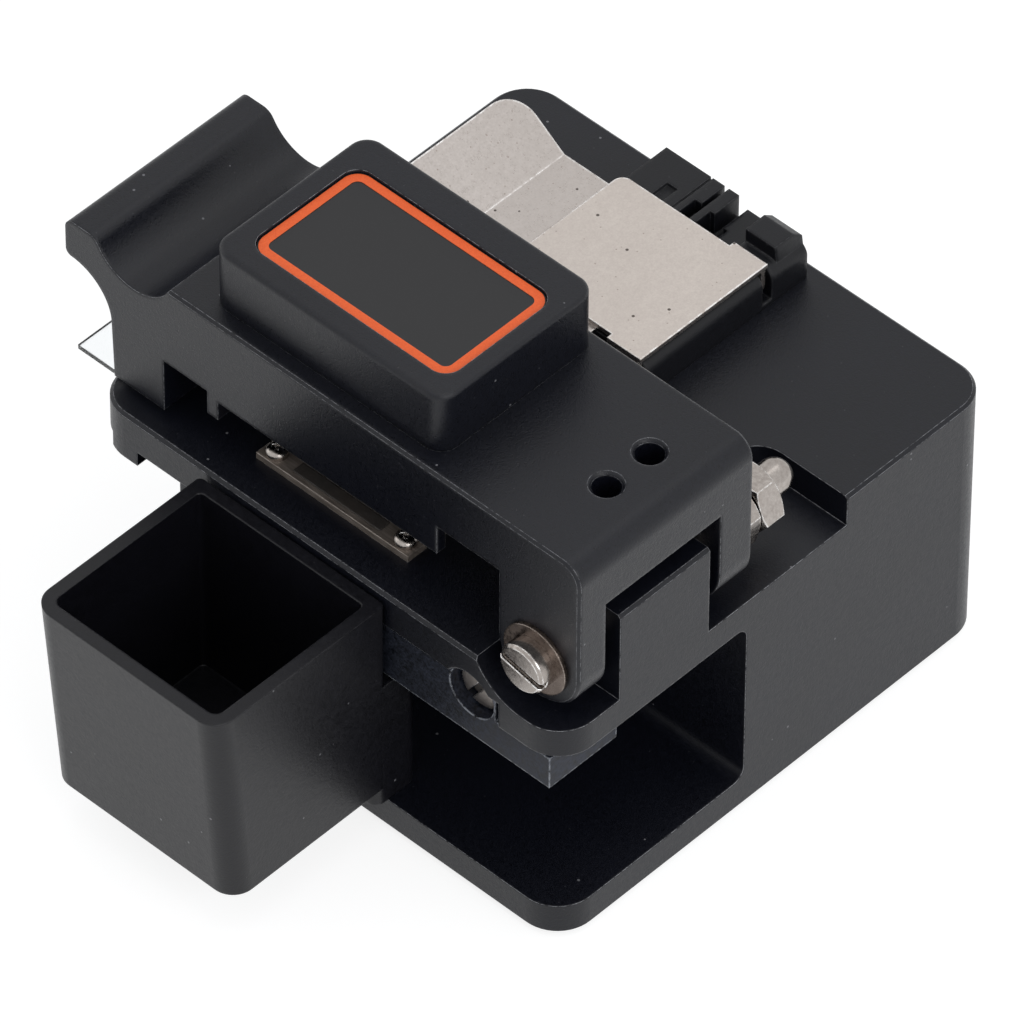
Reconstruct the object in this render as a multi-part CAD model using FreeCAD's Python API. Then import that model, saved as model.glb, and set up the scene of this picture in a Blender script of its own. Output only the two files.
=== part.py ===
import FreeCAD
import Part
import math
import os
from FreeCAD import Vector

# Bench fibre cleaver: one milled body, a hinged clamp lever, a sliding blade
# carriage under the deck, a fibre holder with a sprung lid and a scrap bin.
# Millimetres, +Z up, origin on the table under the middle of the body.
# The user sits on the -Y side; the lever hinge is at +Y, the bin at +X.

# ---- body -------------------------------------------------------------
body_width = 63.5
body_depth = 65.0
body_top = 34.0
body_corner_radius = 4.5
body_edge_chamfer = 0.35
sole_proud = 0.4            # the rubber sole holds the body this far off the table
sole_recess = 0.8
sole_inset = 4.0            # sole's edge from the body's sides
sole_corner_radius = 3.0
sole_gap = 0.1

deck_thickness = 2.8        # over the carriage
relief_ceiling = body_top - deck_thickness
relief_width = 15.0
relief_from_rear = 8.5
relief_bevel_length = 1.9    # sloping end below the lever's ear pocket
relief_bevel_drop = 1.6
deck_lip_depth = 1.5        # the deck's edge is left deeper by this
deck_lip_bottom = relief_ceiling - deck_lip_depth
deck_lip_width = 1.5
lip_tab_depth = 1.9         # tab under the lip, near the front
lip_tab_bottom = deck_lip_bottom - lip_tab_depth
lip_tab_rear = 58.6
lip_tab_length = 3.9
tunnel_width = 27.0         # open channel under the deck, right hand side
tunnel_floor = 4.4
tunnel_roof_drop = 4.8      # the channel's roof beside the relief
tunnel_ceiling = relief_ceiling - tunnel_roof_drop
tunnel_corner_radius = 1.5

# ---- lever hinge ------------------------------------------------------
pin_from_rear = 5.5
pin_rise = 2.8              # pin axis above the deck
pin_height = body_top + pin_rise
pin_diameter = 4.0
pin_clearance = 0.03        # radial, running fit in the boss
shank_clearance = 0.02      # radial, round a screw or pin that stays put
boss_from_right = 8.4
boss_width = 12.9
boss_depth = 11.4
boss_wall = 5.1             # above the pin axis
boss_top = pin_height + boss_wall
boss_front_radius = 4.5
ear_side_gap = 0.6          # smallest gap beside a lever ear
ear_pocket_radius = 6.8
ear_pocket_floor = pin_height - ear_pocket_radius
nut_pocket_width = 20.3
nut_pocket_depth = 12.5
nut_pocket_corner = 3.5

# ---- lever ------------------------------------------------------------
lever_from_right = 2.4
lever_width = 25.1
lever_rise = 8.6            # underside above the pin axis
lever_thickness = 7.2
lever_underside = pin_height + lever_rise
lever_top = lever_underside + lever_thickness
lever_rear_radius = 2.5
lever_edge_chamfer = 0.3
right_ear_width = 3.8
left_ear_width = 4.7
skirt_thickness = 1.2
skirt_depth = 3.8           # below the lever's underside
skirt_bottom = lever_underside - skirt_depth
skirt_rear = 19.2           # from the rear face
skirt_front = 49.4
stop_rib_depth = 2.5        # below the skirt
stop_rib_bottom = skirt_bottom - stop_rib_depth
stop_rib_length = 1.5
cross_slot_rise = 0.6       # the slot's roof above the skirt's lower edge
cross_slot_top = skirt_bottom + cross_slot_rise
leg_rear = 57.0
leg_front = 64.0
leg_gap = 1.2               # between the leg and the deck
leg_bottom = body_top + leg_gap
leg_lean = 0.25             # the leg's front face leans out by this
lip_throat_radius = 5.6     # hollow under the lip
lip_chin_radius = 0.8
lip_chin_rise = 2.75        # the lip's lower front edge above the lever's underside
lip_front = 70.55
lip_corner_radius = 1.2
lip_height = 0.5            # crest above the lever's top
lip_crest_radius = 1.6
lip_crest_top = lever_top + lip_height
scoop_radius = 5.6
scoop_depth = 3.1
scoop_bottom = lever_top - scoop_depth
scoop_from_rear = 61.1
top_hole_diameter = 3.1
top_hole_from_rear = 6.4
top_hole_spacing = 6.2
top_hole_countersink = 0.35

# ---- pad on the lever, with its label ----------------------------------
pad_width = 22.3
pad_length = 31.7
pad_height = 7.7
pad_from_rear = 36.35       # pad centre
pad_shift = 0.65            # to the left of the lever's middle
pad_corner_radius = 2.2
pad_edge_radius = 0.5
pad_wall = 2.4
pad_cavity_height = 5.2
pad_cavity_corner = 1.5
pad_side_wall = 4.0         # thick enough for the screws from below
cover_screw_inset_x = 2.2
cover_screw_inset_y = 4.5
cover_screw_bite = 3.4
label_width = 15.6
label_length = 27.2
label_corner_radius = 2.0
label_from_rear = 36.05     # label centre
label_recess = 0.7
label_thickness = 0.3
label_gap = 0.05

# ---- pivot hardware -----------------------------------------------------
head_diameter = 5.8
head_height = 2.05
head_edge = 0.3
head_slot_width = 0.9
head_slot_depth = 0.9
washer_diameter = 8.3
washer_thickness = 0.5
nut_flats = 7.0
nut_thickness = 2.8
nut_gap = 0.25
thread_stand_out = 5.0      # pin end beyond the outer nut, dome included

# ---- blade and carriage --------------------------------------------------
blade_plane = 12.0          # from the right side
blade_thickness = 1.0
blade_radius = 7.2
blade_bevel = 0.9
axle_from_rear = 12.6
axle_drop = 3.4             # axle below the relief's ceiling
axle_height = relief_ceiling - axle_drop
axle_diameter = 3.0
axle_clearance = 0.05
hub_radius = 2.6
blade_slot_clearance = 0.5
carriage_travel = 32.0
carriage_rear = 2.0
carriage_length = 24.0
carriage_right = 0.5
carriage_left = 10.2
cheek_foot_drop = 5.9       # the cheek's lower edge below the axle
carriage_bottom = axle_height - cheek_foot_drop
carriage_top_gap = 0.3
cheek_rear = 9.4
cheek_outer_depth = 3.0     # the cheek's outer part stays below the deck's lip
axle_head_diameter = 5.4
axle_head_height = 1.6
axle_head_sink = 1.4
axle_head_gap = 0.3
axle_slot_width = 0.8
axle_slot_turn = 55
axle_nut_flats = 5.0
axle_nut_thickness = 1.4
hub_end_gap = 0.15
hub_flange = 0.4
access_hole_diameter = 6.6
rail_centre = 21.4
rail_width = 7.0
rail_height = 5.0
rail_overhang = 1.3         # rail beyond its stop pins
rail_groove_radius = 0.7
rail_groove_height = 2.2    # above the rail's lower face
rail_screw_inset = 8.0      # from the stop pins
rail_screw_count = 3
slider_width = 10.4
slider_length = 22.0
slider_rear = 8.0
slider_clearance = 0.06
slider_top_gap = 0.9
slider_web = 2.6
cross_plate_thickness = 2.5
cross_plate_length = 11.0
carriage_screw_x = 3.0
carriage_screw_y = 3.0
carriage_screw_bite = 2.2
push_bar_width = 6.0
push_bar_thickness = 2.5
push_bar_shift = 3.0        # towards the right of the rail
push_face_width = 15.0
push_face_bottom = 6.4
push_face_height = 12.6
push_face_thickness = 3.0
push_face_front = 63.6
push_face_corner = 2.0
push_groove_radius = 0.9
push_groove_count = 4
push_groove_step = 3.0
push_groove_length = 11.0
stop_pin_diameter = 1.6
stop_pin_depth = 3.0        # length in the rail
stop_pin_proud = 1.8

# ---- cap screws, all of one size ------------------------------------------------
screw_shank_radius = 1.0
screw_head_radius = 1.9
screw_head_height = 1.4
screw_socket_radius = 0.9
screw_socket_depth = 0.8
screw_sink = 0.2            # a sunk head's depth under the surface
screw_grip = 4.5            # thread length in the part that is screwed to

# ---- fibre line and clamps -------------------------------------------------
fibre_from_rear = 37.2
plate_length = 21.0
plate_width = 2.8
plate_thickness = 1.4
plate_seat_depth = 0.6
plate_from_rear = 36.0      # plate centre
scrap_plate_centre = 6.2    # from the right side
clamp_plate_gap = 0.9       # between the blade slot and a clamp plate
pad_strip_width = 1.5
pad_strip_length = 12.0
pad_strip_proud = 0.1
plate_screw_head = 2.2
plate_screw_head_height = 0.8
plate_screw_shank = 1.2
plate_screw_end_gap = 0.2   # the screw's end stays above the carriage's ceiling
plate_screw_inset = 1.6
plate_right_shift = 0.4     # the right plate stands a little nearer the slot
upper_block_width = 9.0
upper_block_length = 20.0
clamp_travel = 1.2
upper_block_gap = 1.6       # under the lever, with the clamp open
upper_block_height = 6.2
upper_block_bottom = lever_underside - upper_block_gap - upper_block_height
upper_pad_width = 1.8
upper_pad_proud = 2.4
upper_pad_bottom = upper_block_bottom - upper_pad_proud
upper_pad_seat = 0.8
upper_pad_length = 12.0
upper_pad_edge = 0.6
upper_pad_radius = 0.5
clamp_stem_spacing = 13.0
clamp_stem_diameter = 2.4
clamp_stem_head = 5.0
clamp_stem_head_height = 1.6
clamp_stem_floor = 1.5      # left under a stem in the block
spring_outer_diameter = 4.2
spring_wire_width = 0.7     # flat wire
spring_wire_height = 0.5
spring_turns = 4.0
spring_height = 4.6
spring_end_gap = 0.05
spring_pocket_gap = 0.2
anvil_width = 1.4
anvil_length = 5.0
anvil_length_down = 9.1     # the anvil's nose below the lever's underside
anvil_bottom = lever_underside - anvil_length_down
anvil_flange = 1.6
anvil_head_width = 4.0
anvil_side_gap = 0.5        # round the anvil, inside the clamp block
anvil_screw_radius = 0.8
anvil_screw_head_radius = 1.6
anvil_screw_head_height = 1.3

# ---- fibre holder -----------------------------------------------------------
holder_right = 37.9         # from the body's right side
holder_left = 62.05
holder_rear = 24.0
holder_front = 43.9
holder_height = 4.7
holder_top = body_top + holder_height
holder_back_radius = 1.6
holder_screw_offset = 6.0
magnet_diameter = 3.4
magnet_height = 1.9
magnet_from_front = 3.2
magnet_gap = 0.05
lid_left = 56.0
lid_right = 37.2
lid_rear = 24.3
lid_front = 43.8
lid_thickness = 0.6
lid_gap = 0.1
lid_corner_radius = 1.2
lid_ear_length = 4.6
lid_ear_step = 0.7
lid_ear_radius = 1.5
lid_pin_play = 0.04
lid_pin_wall = 2.3          # left at the pin's blind end
lid_pin_proud = 0.5
lid_pin_from_rear = 26.1
lid_pin_rise = 2.6
lid_pin_height = body_top + lid_pin_rise
lid_pin_diameter = 1.2
leaf_right = 36.0
leaf_left = 53.8
leaf_thickness = 0.35
leaf_rear = 31.0
leaf_bend = 50.4
leaf_lift = 36.0            # degrees the finger tab rises
leaf_tab_length = 8.5
leaf_left_radius = 3.6
leaf_right_radius = 1.5
lid_ear_gap = 0.4           # round a lid ear, in the holder
cheek_height = 6.4
cheek_top = body_top + cheek_height
cheek_right = 57.7
cheek_left = 61.65
cheek_front = 28.9
cheek_lean = 0.9            # the cheek's rear face leans forward by this
cheek_bevel_width = 1.2
cheek_bevel_height = 0.9
shelf_front = 32.0          # low shelf between the wide slot and the cheek
shelf_drop = 1.2
wide_slot_width = 2.4
wide_slot_depth = 3.0
wide_slot_step = 2.4        # outer part of the slot is narrower from here
wide_slot_inset = 0.6
fine_slot_front = 35.8
fine_slot_width = 0.6
fine_slot_depth = 1.6
fine_pocket_width = 1.5
fine_pocket_depth = 2.0
fine_pocket_reach = 2.6     # from the lid's left edge
scribe_from_rear = 37.4
scribe_width = 0.3
scribe_depth = 0.3
rest_pocket_from_rear = 38.9
rest_pocket_length = 1.5
rest_pocket_width = 2.4
rest_pocket_depth = 0.5

# ---- scrap bin ----------------------------------------------------------------
bin_gap = 0.3               # off the body's right side
bin_width = 24.0
bin_depth = 25.7
bin_rear = 23.7
bin_rim_drop = 1.0          # rim below the deck
bin_rim = body_top - bin_rim_drop
bin_bottom = 6.6
bin_wall = 1.5
bin_corner_radius = 2.6
bin_inside_corner = 0.6      # corners that face the body
bin_draft = 2.1             # the outer wall leans in by this at the bottom
bin_toe_reach = 4.2         # toe under the deck
bin_toe_top = 21.4
bin_toe_inset = 0.9          # at its front end; its rear end is flush with the tub
bin_toe_radius = 1.2
bin_inner_radius = 0.6
bin_clearance = 0.06

# ---- film -----------------------------------------------------------------------
film_right = 3.4
film_width = 20.0
film_front = 70.2
film_rear = 58.5
film_thickness = 0.6


def from_right(distance):
    """x of a plane this far inside the body's right side."""
    return body_width / 2 - distance


def from_rear(distance):
    """y of a plane this far in front of the body's rear face."""
    return body_depth / 2 - distance


def block(x0, x1, y0, y1, z0, z1):
    corner = Vector(min(x0, x1), min(y0, y1), min(z0, z1))
    return Part.makeBox(abs(x1 - x0), abs(y1 - y0), abs(z1 - z0), corner)


def rod_x(x0, x1, y, z, radius):
    return Part.makeCylinder(radius, abs(x1 - x0), Vector(min(x0, x1), y, z), Vector(1, 0, 0))


def rod_z(x, y, z0, z1, radius):
    return Part.makeCylinder(radius, abs(z1 - z0), Vector(x, y, min(z0, z1)))


def hexagon_z(x, y, z0, z1, reach):
    """Hexagonal prism along z; reach is from its axis to a corner."""
    points = []
    for i in range(7):
        angle = math.radians(60 * i)
        points.append(Vector(x + reach * math.cos(angle), y + reach * math.sin(angle), min(z0, z1)))
    return Part.Face(Part.makePolygon(points)).extrude(Vector(0, 0, abs(z1 - z0)))


def rounded_outline(x0, x1, y0, y1, z, radius, radius_low_x=None):
    """Closed rectangle wire with round corners at height z; the low x corners may differ."""
    low = radius if radius_low_x is None else radius_low_x
    k = radius * (1 - math.sqrt(0.5))
    m = low * (1 - math.sqrt(0.5))
    corners = [
        (x0 + low, y0, x0 + m, y0 + m, x0, y0 + low),
        (x0, y1 - low, x0 + m, y1 - m, x0 + low, y1),
        (x1 - radius, y1, x1 - k, y1 - k, x1, y1 - radius),
        (x1, y0 + radius, x1 - k, y0 + k, x1 - radius, y0),
    ]
    edges = []
    for i, (ax, ay, mx, my, bx, by) in enumerate(corners):
        start = Vector(ax, ay, z)
        end = Vector(bx, by, z)
        edges.append(Part.Arc(start, Vector(mx, my, z), end).toShape())
        following = corners[(i + 1) % len(corners)]
        edges.append(Part.LineSegment(end, Vector(following[0], following[1], z)).toShape())
    return Part.Wire(edges)


def rounded_block(x0, x1, y0, y1, z0, z1, radius):
    low_x, high_x = sorted((x0, x1))
    low_y, high_y = sorted((y0, y1))
    wire = rounded_outline(low_x, high_x, low_y, high_y, min(z0, z1), radius)
    return Part.Face(wire).extrude(Vector(0, 0, abs(z1 - z0)))


def side_profile(path, x0, x1):
    """Extrude a (y, z) outline along x. A nested pair is an arc: (middle, end)."""
    low = min(x0, x1)
    start = Vector(low, path[0][0], path[0][1])
    first = start
    edges = []
    for step in path[1:]:
        if isinstance(step[0], tuple):
            middle = Vector(low, step[0][0], step[0][1])
            end = Vector(low, step[1][0], step[1][1])
            edges.append(Part.Arc(start, middle, end).toShape())
        else:
            end = Vector(low, step[0], step[1])
            edges.append(Part.LineSegment(start, end).toShape())
        start = end
    if start.distanceToPoint(first) > 1e-6:
        edges.append(Part.LineSegment(start, first).toShape())
    return Part.Face(Part.Wire(edges)).extrude(Vector(abs(x1 - x0), 0, 0))


def hexagon_nut(x0, x1, y, z, flats, bore_radius):
    """Nut with its axis along x and rounded outer corners on both faces."""
    reach = flats / math.sqrt(3)
    points = []
    for i in range(7):
        angle = math.radians(60 * i + 30)
        points.append(Vector(min(x0, x1), y + reach * math.cos(angle), z + reach * math.sin(angle)))
    prism = Part.Face(Part.makePolygon(points)).extrude(Vector(abs(x1 - x0), 0, 0))
    thickness = abs(x1 - x0)
    crown = reach - flats / 2
    profile = [
        (0, bore_radius),
        (0, flats / 2),
        (crown * 0.6, reach + 0.01),
        (thickness - crown * 0.6, reach + 0.01),
        (thickness, flats / 2),
        (thickness, bore_radius),
    ]
    outline = [Vector(min(x0, x1) + a, y, z + r) for a, r in profile]
    outline.append(outline[0])
    turned = Part.Face(Part.makePolygon(outline)).revolve(Vector(0, y, z), Vector(1, 0, 0), 360)
    return prism.common(turned)


def pan_screw(x, y, seat, head_radius, head_height_up, shank_radius, length):
    """Pan head screw standing on its seat, shank downwards."""
    shank = rod_z(x, y, seat - length, seat, shank_radius)
    head = rod_z(x, y, seat, seat + head_height_up, head_radius)
    rim = [e for e in head.Edges if abs(e.BoundBox.ZMin - seat - head_height_up) < 1e-6
           and abs(e.BoundBox.ZMax - seat - head_height_up) < 1e-6]
    return head.makeChamfer(head_height_up * 0.4, rim).fuse(shank)


def socket_screw(x, y, seat, length, head_side):
    """Cap screw along z; head_side is +1 where the head is above its seat, -1 below."""
    top = seat + head_side * screw_head_height
    shank = rod_z(x, y, seat - head_side * length, seat, screw_shank_radius)
    head = rod_z(x, y, seat, top, screw_head_radius)
    socket = hexagon_z(x, y, top - head_side * screw_socket_depth, top, screw_socket_radius)
    return head.fuse(shank).cut(socket)


def screw_hole(x, y, seat, length, head_side, mouth):
    """Room for a socket_screw whose counterbore opens at height mouth."""
    shank = rod_z(x, y, seat - head_side * length, seat, screw_shank_radius + shank_clearance)
    counterbore = rod_z(x, y, seat, mouth + head_side * 1.0, screw_head_radius + 3 * shank_clearance)
    return shank.fuse(counterbore)


def lever_frame():
    """Inner and outer planes of the lever, in body coordinates."""
    right = from_right(lever_from_right)
    left = from_right(lever_from_right + lever_width)
    return right, left


# ------------------------------------------------------------------ body ----

def hinge_boss():
    y_rear = from_rear(0)
    y_front = from_rear(boss_depth)
    r = boss_front_radius
    k = r * (1 - math.sqrt(0.5))
    path = [
        (y_rear, body_top - 1.0),
        (y_rear, boss_top - body_edge_chamfer),
        (y_rear - body_edge_chamfer, boss_top),
        (y_front + r, boss_top),
        ((y_front + k, boss_top - k), (y_front, boss_top - r)),
        (y_front, body_top - 1.0),
    ]
    return side_profile(path, from_right(boss_from_right), from_right(boss_from_right + boss_width))


def right_ear_pocket():
    y = from_rear(pin_from_rear)
    inner = from_right(boss_from_right)
    outer = from_right(-1.0)
    round_part = rod_x(inner, outer, y, pin_height, ear_pocket_radius)
    square_part = block(inner, outer, y, from_rear(-1.0), pin_height - ear_pocket_radius, boss_top)
    return round_part.fuse(square_part)


def nut_pocket():
    x1 = from_right(boss_from_right + boss_width)
    x0 = x1 - nut_pocket_width
    y0 = from_rear(nut_pocket_depth)
    r = nut_pocket_corner
    return rounded_block(x0, x1 + r, y0, from_rear(-r - 1.0), ear_pocket_floor, body_top + 1.0, r).cut(
        block(x1, x1 + r, y0, from_rear(-r - 1.0), ear_pocket_floor, body_top + 1.0))


def blade_slot():
    """Room for the wheel over the whole travel of the carriage."""
    half = blade_thickness / 2 + blade_slot_clearance
    radius = blade_radius + blade_slot_clearance
    y_back = from_rear(axle_from_rear)
    y_front = y_back - carriage_travel
    x0 = from_right(blade_plane + half)
    x1 = from_right(blade_plane - half)
    path = [
        (y_back, axle_height - radius),
        ((y_back + radius, axle_height), (y_back, axle_height + radius)),
        (y_front, axle_height + radius),
        ((y_front - radius, axle_height), (y_front, axle_height - radius)),
    ]
    return side_profile(path, x0, x1)


def plate_centres():
    """Distance from the right side of the scrap rest and of both clamp plates."""
    half_slot = blade_thickness / 2 + blade_slot_clearance
    offset = half_slot + clamp_plate_gap + plate_width / 2
    return {
        "scrap": scrap_plate_centre,
        "right": blade_plane - offset + plate_right_shift,
        "left": blade_plane + offset,
    }


def plate_screw_reach():
    return plate_length / 2 - plate_screw_inset


def plate_screw_places():
    y = from_rear(plate_from_rear)
    places = []
    for centre in plate_centres().values():
        for side in (-1, 1):
            places.append((from_right(centre), y + side * plate_screw_reach()))
    return places


def rail_screw_places():
    rear, front = stop_pin_places()
    first = rear - rail_screw_inset
    step = (first - front - rail_screw_inset) / (rail_screw_count - 1)
    return [(from_right(rail_centre), first - i * step) for i in range(rail_screw_count)]


def rail_screw_seat():
    """Seat height, length, head side and mouth of the rail's screws."""
    mouth = tunnel_ceiling - rail_height
    seat = mouth + screw_sink + screw_head_height
    return seat, tunnel_ceiling + screw_grip - seat, -1, mouth


def holder_screw_places():
    x, y = magnet_place()
    return [(x - holder_screw_offset, y), (x + holder_screw_offset, y)]


def holder_screw_seat():
    """Seat height, length, head side and mouth of the holder's screws."""
    seat = holder_top - screw_sink - screw_head_height
    return seat, seat - body_top + screw_grip, 1, holder_top


def bevelled_end(y0, y1, z0, z1):
    """Side view of a block whose upper rear edge slopes like the relief's."""
    return [(y0, z0), (y1, z0), (y1, z1 - relief_bevel_drop), (y1 - relief_bevel_length, z1), (y0, z1)]


def deck_relief():
    """Space for the carriage under the deck; the deck keeps a deeper lip along its edge."""
    y0 = -body_depth / 2 - 1.0
    y1 = from_rear(relief_from_rear)
    z0 = tunnel_ceiling - 1.0
    path = bevelled_end(y0, y1, z0, relief_ceiling)
    inner = side_profile(path, from_right(relief_width), from_right(deck_lip_width))
    outer = block(from_right(deck_lip_width + 0.5), from_right(-1.0), y0, y1, z0, deck_lip_bottom)
    tab_front = from_rear(lip_tab_rear + lip_tab_length)
    tab = block(from_right(deck_lip_width + 0.5), from_right(-1.0), tab_front, from_rear(lip_tab_rear),
                lip_tab_bottom, deck_lip_bottom)
    return inner.fuse(outer).cut(tab)


def base_block():
    half_x = body_width / 2
    half_y = body_depth / 2
    body = rounded_block(-half_x, half_x, -half_y, half_y, sole_proud, body_top, body_corner_radius)
    rims = [e for e in body.Edges if e.BoundBox.ZMax - e.BoundBox.ZMin < 1e-6]
    body = body.makeChamfer(body_edge_chamfer, rims)
    body = body.fuse(hinge_boss())

    tunnel = block(from_right(tunnel_width), from_right(-1.0), -half_y - 1.0, half_y + 1.0,
                   tunnel_floor, tunnel_ceiling)
    inner = [e for e in tunnel.Edges if abs(e.BoundBox.XMax - from_right(tunnel_width)) < 1e-6
             and e.BoundBox.YLength > body_depth]
    tunnel = tunnel.makeFillet(tunnel_corner_radius, inner)
    relief = deck_relief()
    access = rod_x(from_right(3.0), from_right(-1.0), from_rear(axle_from_rear), axle_height,
                   access_hole_diameter / 2)
    cuts = [tunnel, relief, access, blade_slot(), right_ear_pocket(), nut_pocket()]

    cuts.append(rod_x(from_right(boss_from_right) + 1.0, from_right(boss_from_right + boss_width) - 1.0,
                      from_rear(pin_from_rear), pin_height, pin_diameter / 2 + pin_clearance))
    for centre in plate_centres().values():
        x = from_right(centre)
        y = from_rear(plate_from_rear)
        half = plate_width / 2
        reach = plate_length / 2
        seat = body_top - plate_seat_depth
        cuts.append(block(x - half, x + half, y - reach, y + reach, seat, body_top + 1.0))
    for x, y in plate_screw_places():
        cuts.append(rod_z(x, y, relief_ceiling - 1.0, body_top, plate_screw_shank / 2 + shank_clearance))
    cuts.append(sole_outline(0.0))
    for x, y in rail_screw_places():
        cuts.append(screw_hole(x, y, *rail_screw_seat()))
    for x, y in holder_screw_places():
        cuts.append(screw_hole(x, y, *holder_screw_seat()))
    for cutter in cuts:
        body = body.cut(cutter)
    return body


def sole_outline(gap):
    """The sole's recess, or the sole itself when a gap is given."""
    reach_x = body_width / 2 - sole_inset - gap
    reach_y = body_depth / 2 - sole_inset - gap
    return rounded_block(-reach_x, reach_x, -reach_y, reach_y, 0.0, sole_proud + sole_recess,
                         sole_corner_radius - gap)


def rubber_sole():
    return sole_outline(sole_gap)


# ------------------------------------------------------- plates on the deck ----

def deck_plate(centre):
    """Steel strip let into the deck, with a window for its rubber."""
    x = from_right(centre)
    y = from_rear(plate_from_rear)
    z0 = body_top - plate_seat_depth
    strip = block(x - plate_width / 2, x + plate_width / 2, y - plate_length / 2, y + plate_length / 2,
                  z0, z0 + plate_thickness)
    window = block(x - pad_strip_width / 2, x + pad_strip_width / 2, y - pad_strip_length / 2,
                   y + pad_strip_length / 2, z0 - 1.0, z0 + plate_thickness + 1.0)
    strip = strip.cut(window)
    for side in (-1, 1):
        strip = strip.cut(rod_z(x, y + side * plate_screw_reach(), z0 - 1.0, z0 + plate_thickness + 1.0,
                                plate_screw_shank / 2 + shank_clearance))
    return strip


def deck_strip(centre):
    x = from_right(centre)
    y = from_rear(plate_from_rear)
    z0 = body_top - plate_seat_depth
    return block(x - pad_strip_width / 2, x + pad_strip_width / 2, y - pad_strip_length / 2,
                 y + pad_strip_length / 2, z0, z0 + plate_thickness + pad_strip_proud)


def plate_screws():
    seat = body_top - plate_seat_depth + plate_thickness
    length = seat - relief_ceiling - plate_screw_end_gap
    head = plate_screw_head / 2
    shank = plate_screw_shank / 2
    return Part.makeCompound([pan_screw(x, y, seat, head, plate_screw_head_height, shank, length)
                              for x, y in plate_screw_places()])


# -------------------------------------------------------------- guide rail ----

def guide_rail():
    x = from_right(rail_centre)
    rear, front = stop_pin_places()
    y0 = front - rail_overhang
    y1 = rear + rail_overhang
    z0 = tunnel_ceiling - rail_height
    rail = block(x - rail_width / 2, x + rail_width / 2, y0, y1, z0, tunnel_ceiling)
    for side in (-1, 1):
        groove = Part.makeCylinder(rail_groove_radius, y1 - y0,
                                   Vector(x + side * rail_width / 2, y0, z0 + rail_groove_height),
                                   Vector(0, 1, 0))
        rail = rail.cut(groove)
    for sx, sy in rail_screw_places():
        rail = rail.cut(screw_hole(sx, sy, *rail_screw_seat()))
    for sy in stop_pin_places():
        rail = rail.cut(rod_z(x, sy, z0 - 1.0, z0 + stop_pin_depth, stop_pin_diameter / 2 + shank_clearance))
    return rail


def stop_pin_places():
    gap = stop_pin_diameter / 2 + slider_clearance
    rear = from_rear(slider_rear) + gap
    front = from_rear(slider_rear + slider_length + carriage_travel) - gap
    return [rear, front]


def rail_stops():
    x = from_right(rail_centre)
    z0 = tunnel_ceiling - rail_height
    pins = [rod_z(x, sy, z0 - stop_pin_proud, z0 + stop_pin_depth, stop_pin_diameter / 2)
            for sy in stop_pin_places()]
    return Part.makeCompound(pins)


def rail_screws():
    seat, length, head_side, _ = rail_screw_seat()
    return Part.makeCompound([socket_screw(x, y, seat, length, head_side) for x, y in rail_screw_places()])


# ---------------------------------------------------------- blade carriage ----

def guide_block():
    """Steel slider that hangs on the rail and wraps its two sides."""
    x = from_right(rail_centre)
    y0 = from_rear(slider_rear + slider_length)
    y1 = from_rear(slider_rear)
    z1 = tunnel_ceiling - slider_top_gap
    z0 = slider_bottom()
    body = block(x - slider_width / 2, x + slider_width / 2, y0, y1, z0, z1)
    half = rail_width / 2 + slider_clearance
    channel = block(x - half, x + half, y0 - 1.0, y1 + 1.0, z0 + slider_web, z1 + 1.0)
    body = body.cut(channel)
    bead_z = tunnel_ceiling - rail_height + rail_groove_height
    for side in (-1, 1):
        bead = Part.makeCylinder(rail_groove_radius - slider_clearance, y1 - y0,
                                 Vector(x + side * rail_width / 2, y0, bead_z), Vector(0, 1, 0))
        body = body.fuse(bead)
    for sx, sy in carriage_screw_places():
        body = body.cut(screw_hole(sx, sy, *carriage_screw_seat()))
    return body


def slider_bottom():
    return tunnel_ceiling - rail_height - slider_clearance - slider_web


def blade_carriage():
    x_right = from_right(carriage_right)
    x_left = from_right(carriage_left)
    y_rear = from_rear(carriage_rear)
    y_front = from_rear(carriage_rear + carriage_length)
    low_top = tunnel_ceiling - carriage_top_gap
    lip_top = deck_lip_bottom - carriage_top_gap
    high_top = relief_ceiling - carriage_top_gap
    path = [
        (y_rear, carriage_bottom),
        (y_rear, low_top),
        (from_rear(cheek_rear), low_top),
        (from_rear(cheek_rear), lip_top),
        (y_front, lip_top),
        (y_front, carriage_bottom),
    ]
    cheek = side_profile(path, x_left, x_right)
    upper = bevelled_end(y_front, from_rear(cheek_rear), lip_top - 1.0, high_top)
    cheek = cheek.fuse(side_profile(upper, x_left, x_right - cheek_outer_depth))
    z0 = slider_bottom()
    y_cross = from_rear(carriage_rear + carriage_length - cross_plate_length)
    x_slider = from_right(rail_centre) - slider_width / 2
    cross = block(x_slider, from_right(bin_toe_reach + 1.0), y_front, y_cross, z0 - cross_plate_thickness, z0)
    web = block(x_left, from_right(bin_toe_reach + 1.0), y_front, y_cross, z0 - cross_plate_thickness,
                carriage_bottom + 1.0)
    body = cheek.fuse(cross).fuse(web)
    y = from_rear(axle_from_rear)
    body = body.cut(rod_x(x_left - 1.0, x_right + 1.0, y, axle_height, axle_diameter / 2 + shank_clearance))
    body = body.cut(rod_x(x_right - axle_head_sink - axle_head_height, x_right + 1.0, y, axle_height,
                          axle_head_diameter / 2 + axle_head_gap))
    for sx, sy in carriage_screw_places():
        body = body.cut(screw_hole(sx, sy, *carriage_screw_seat()))
    return body


def carriage_screw_places():
    x = from_right(rail_centre)
    y = from_rear(carriage_rear + carriage_length - cross_plate_length / 2)
    return [(x + side * carriage_screw_x, y + side * carriage_screw_y) for side in (-1, 1)]


def carriage_screw_seat():
    """Seat height, length, head side and mouth of the carriage's screws."""
    mouth = slider_bottom() - cross_plate_thickness
    seat = mouth + screw_head_height
    return seat, slider_bottom() + carriage_screw_bite - seat, -1, mouth


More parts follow.
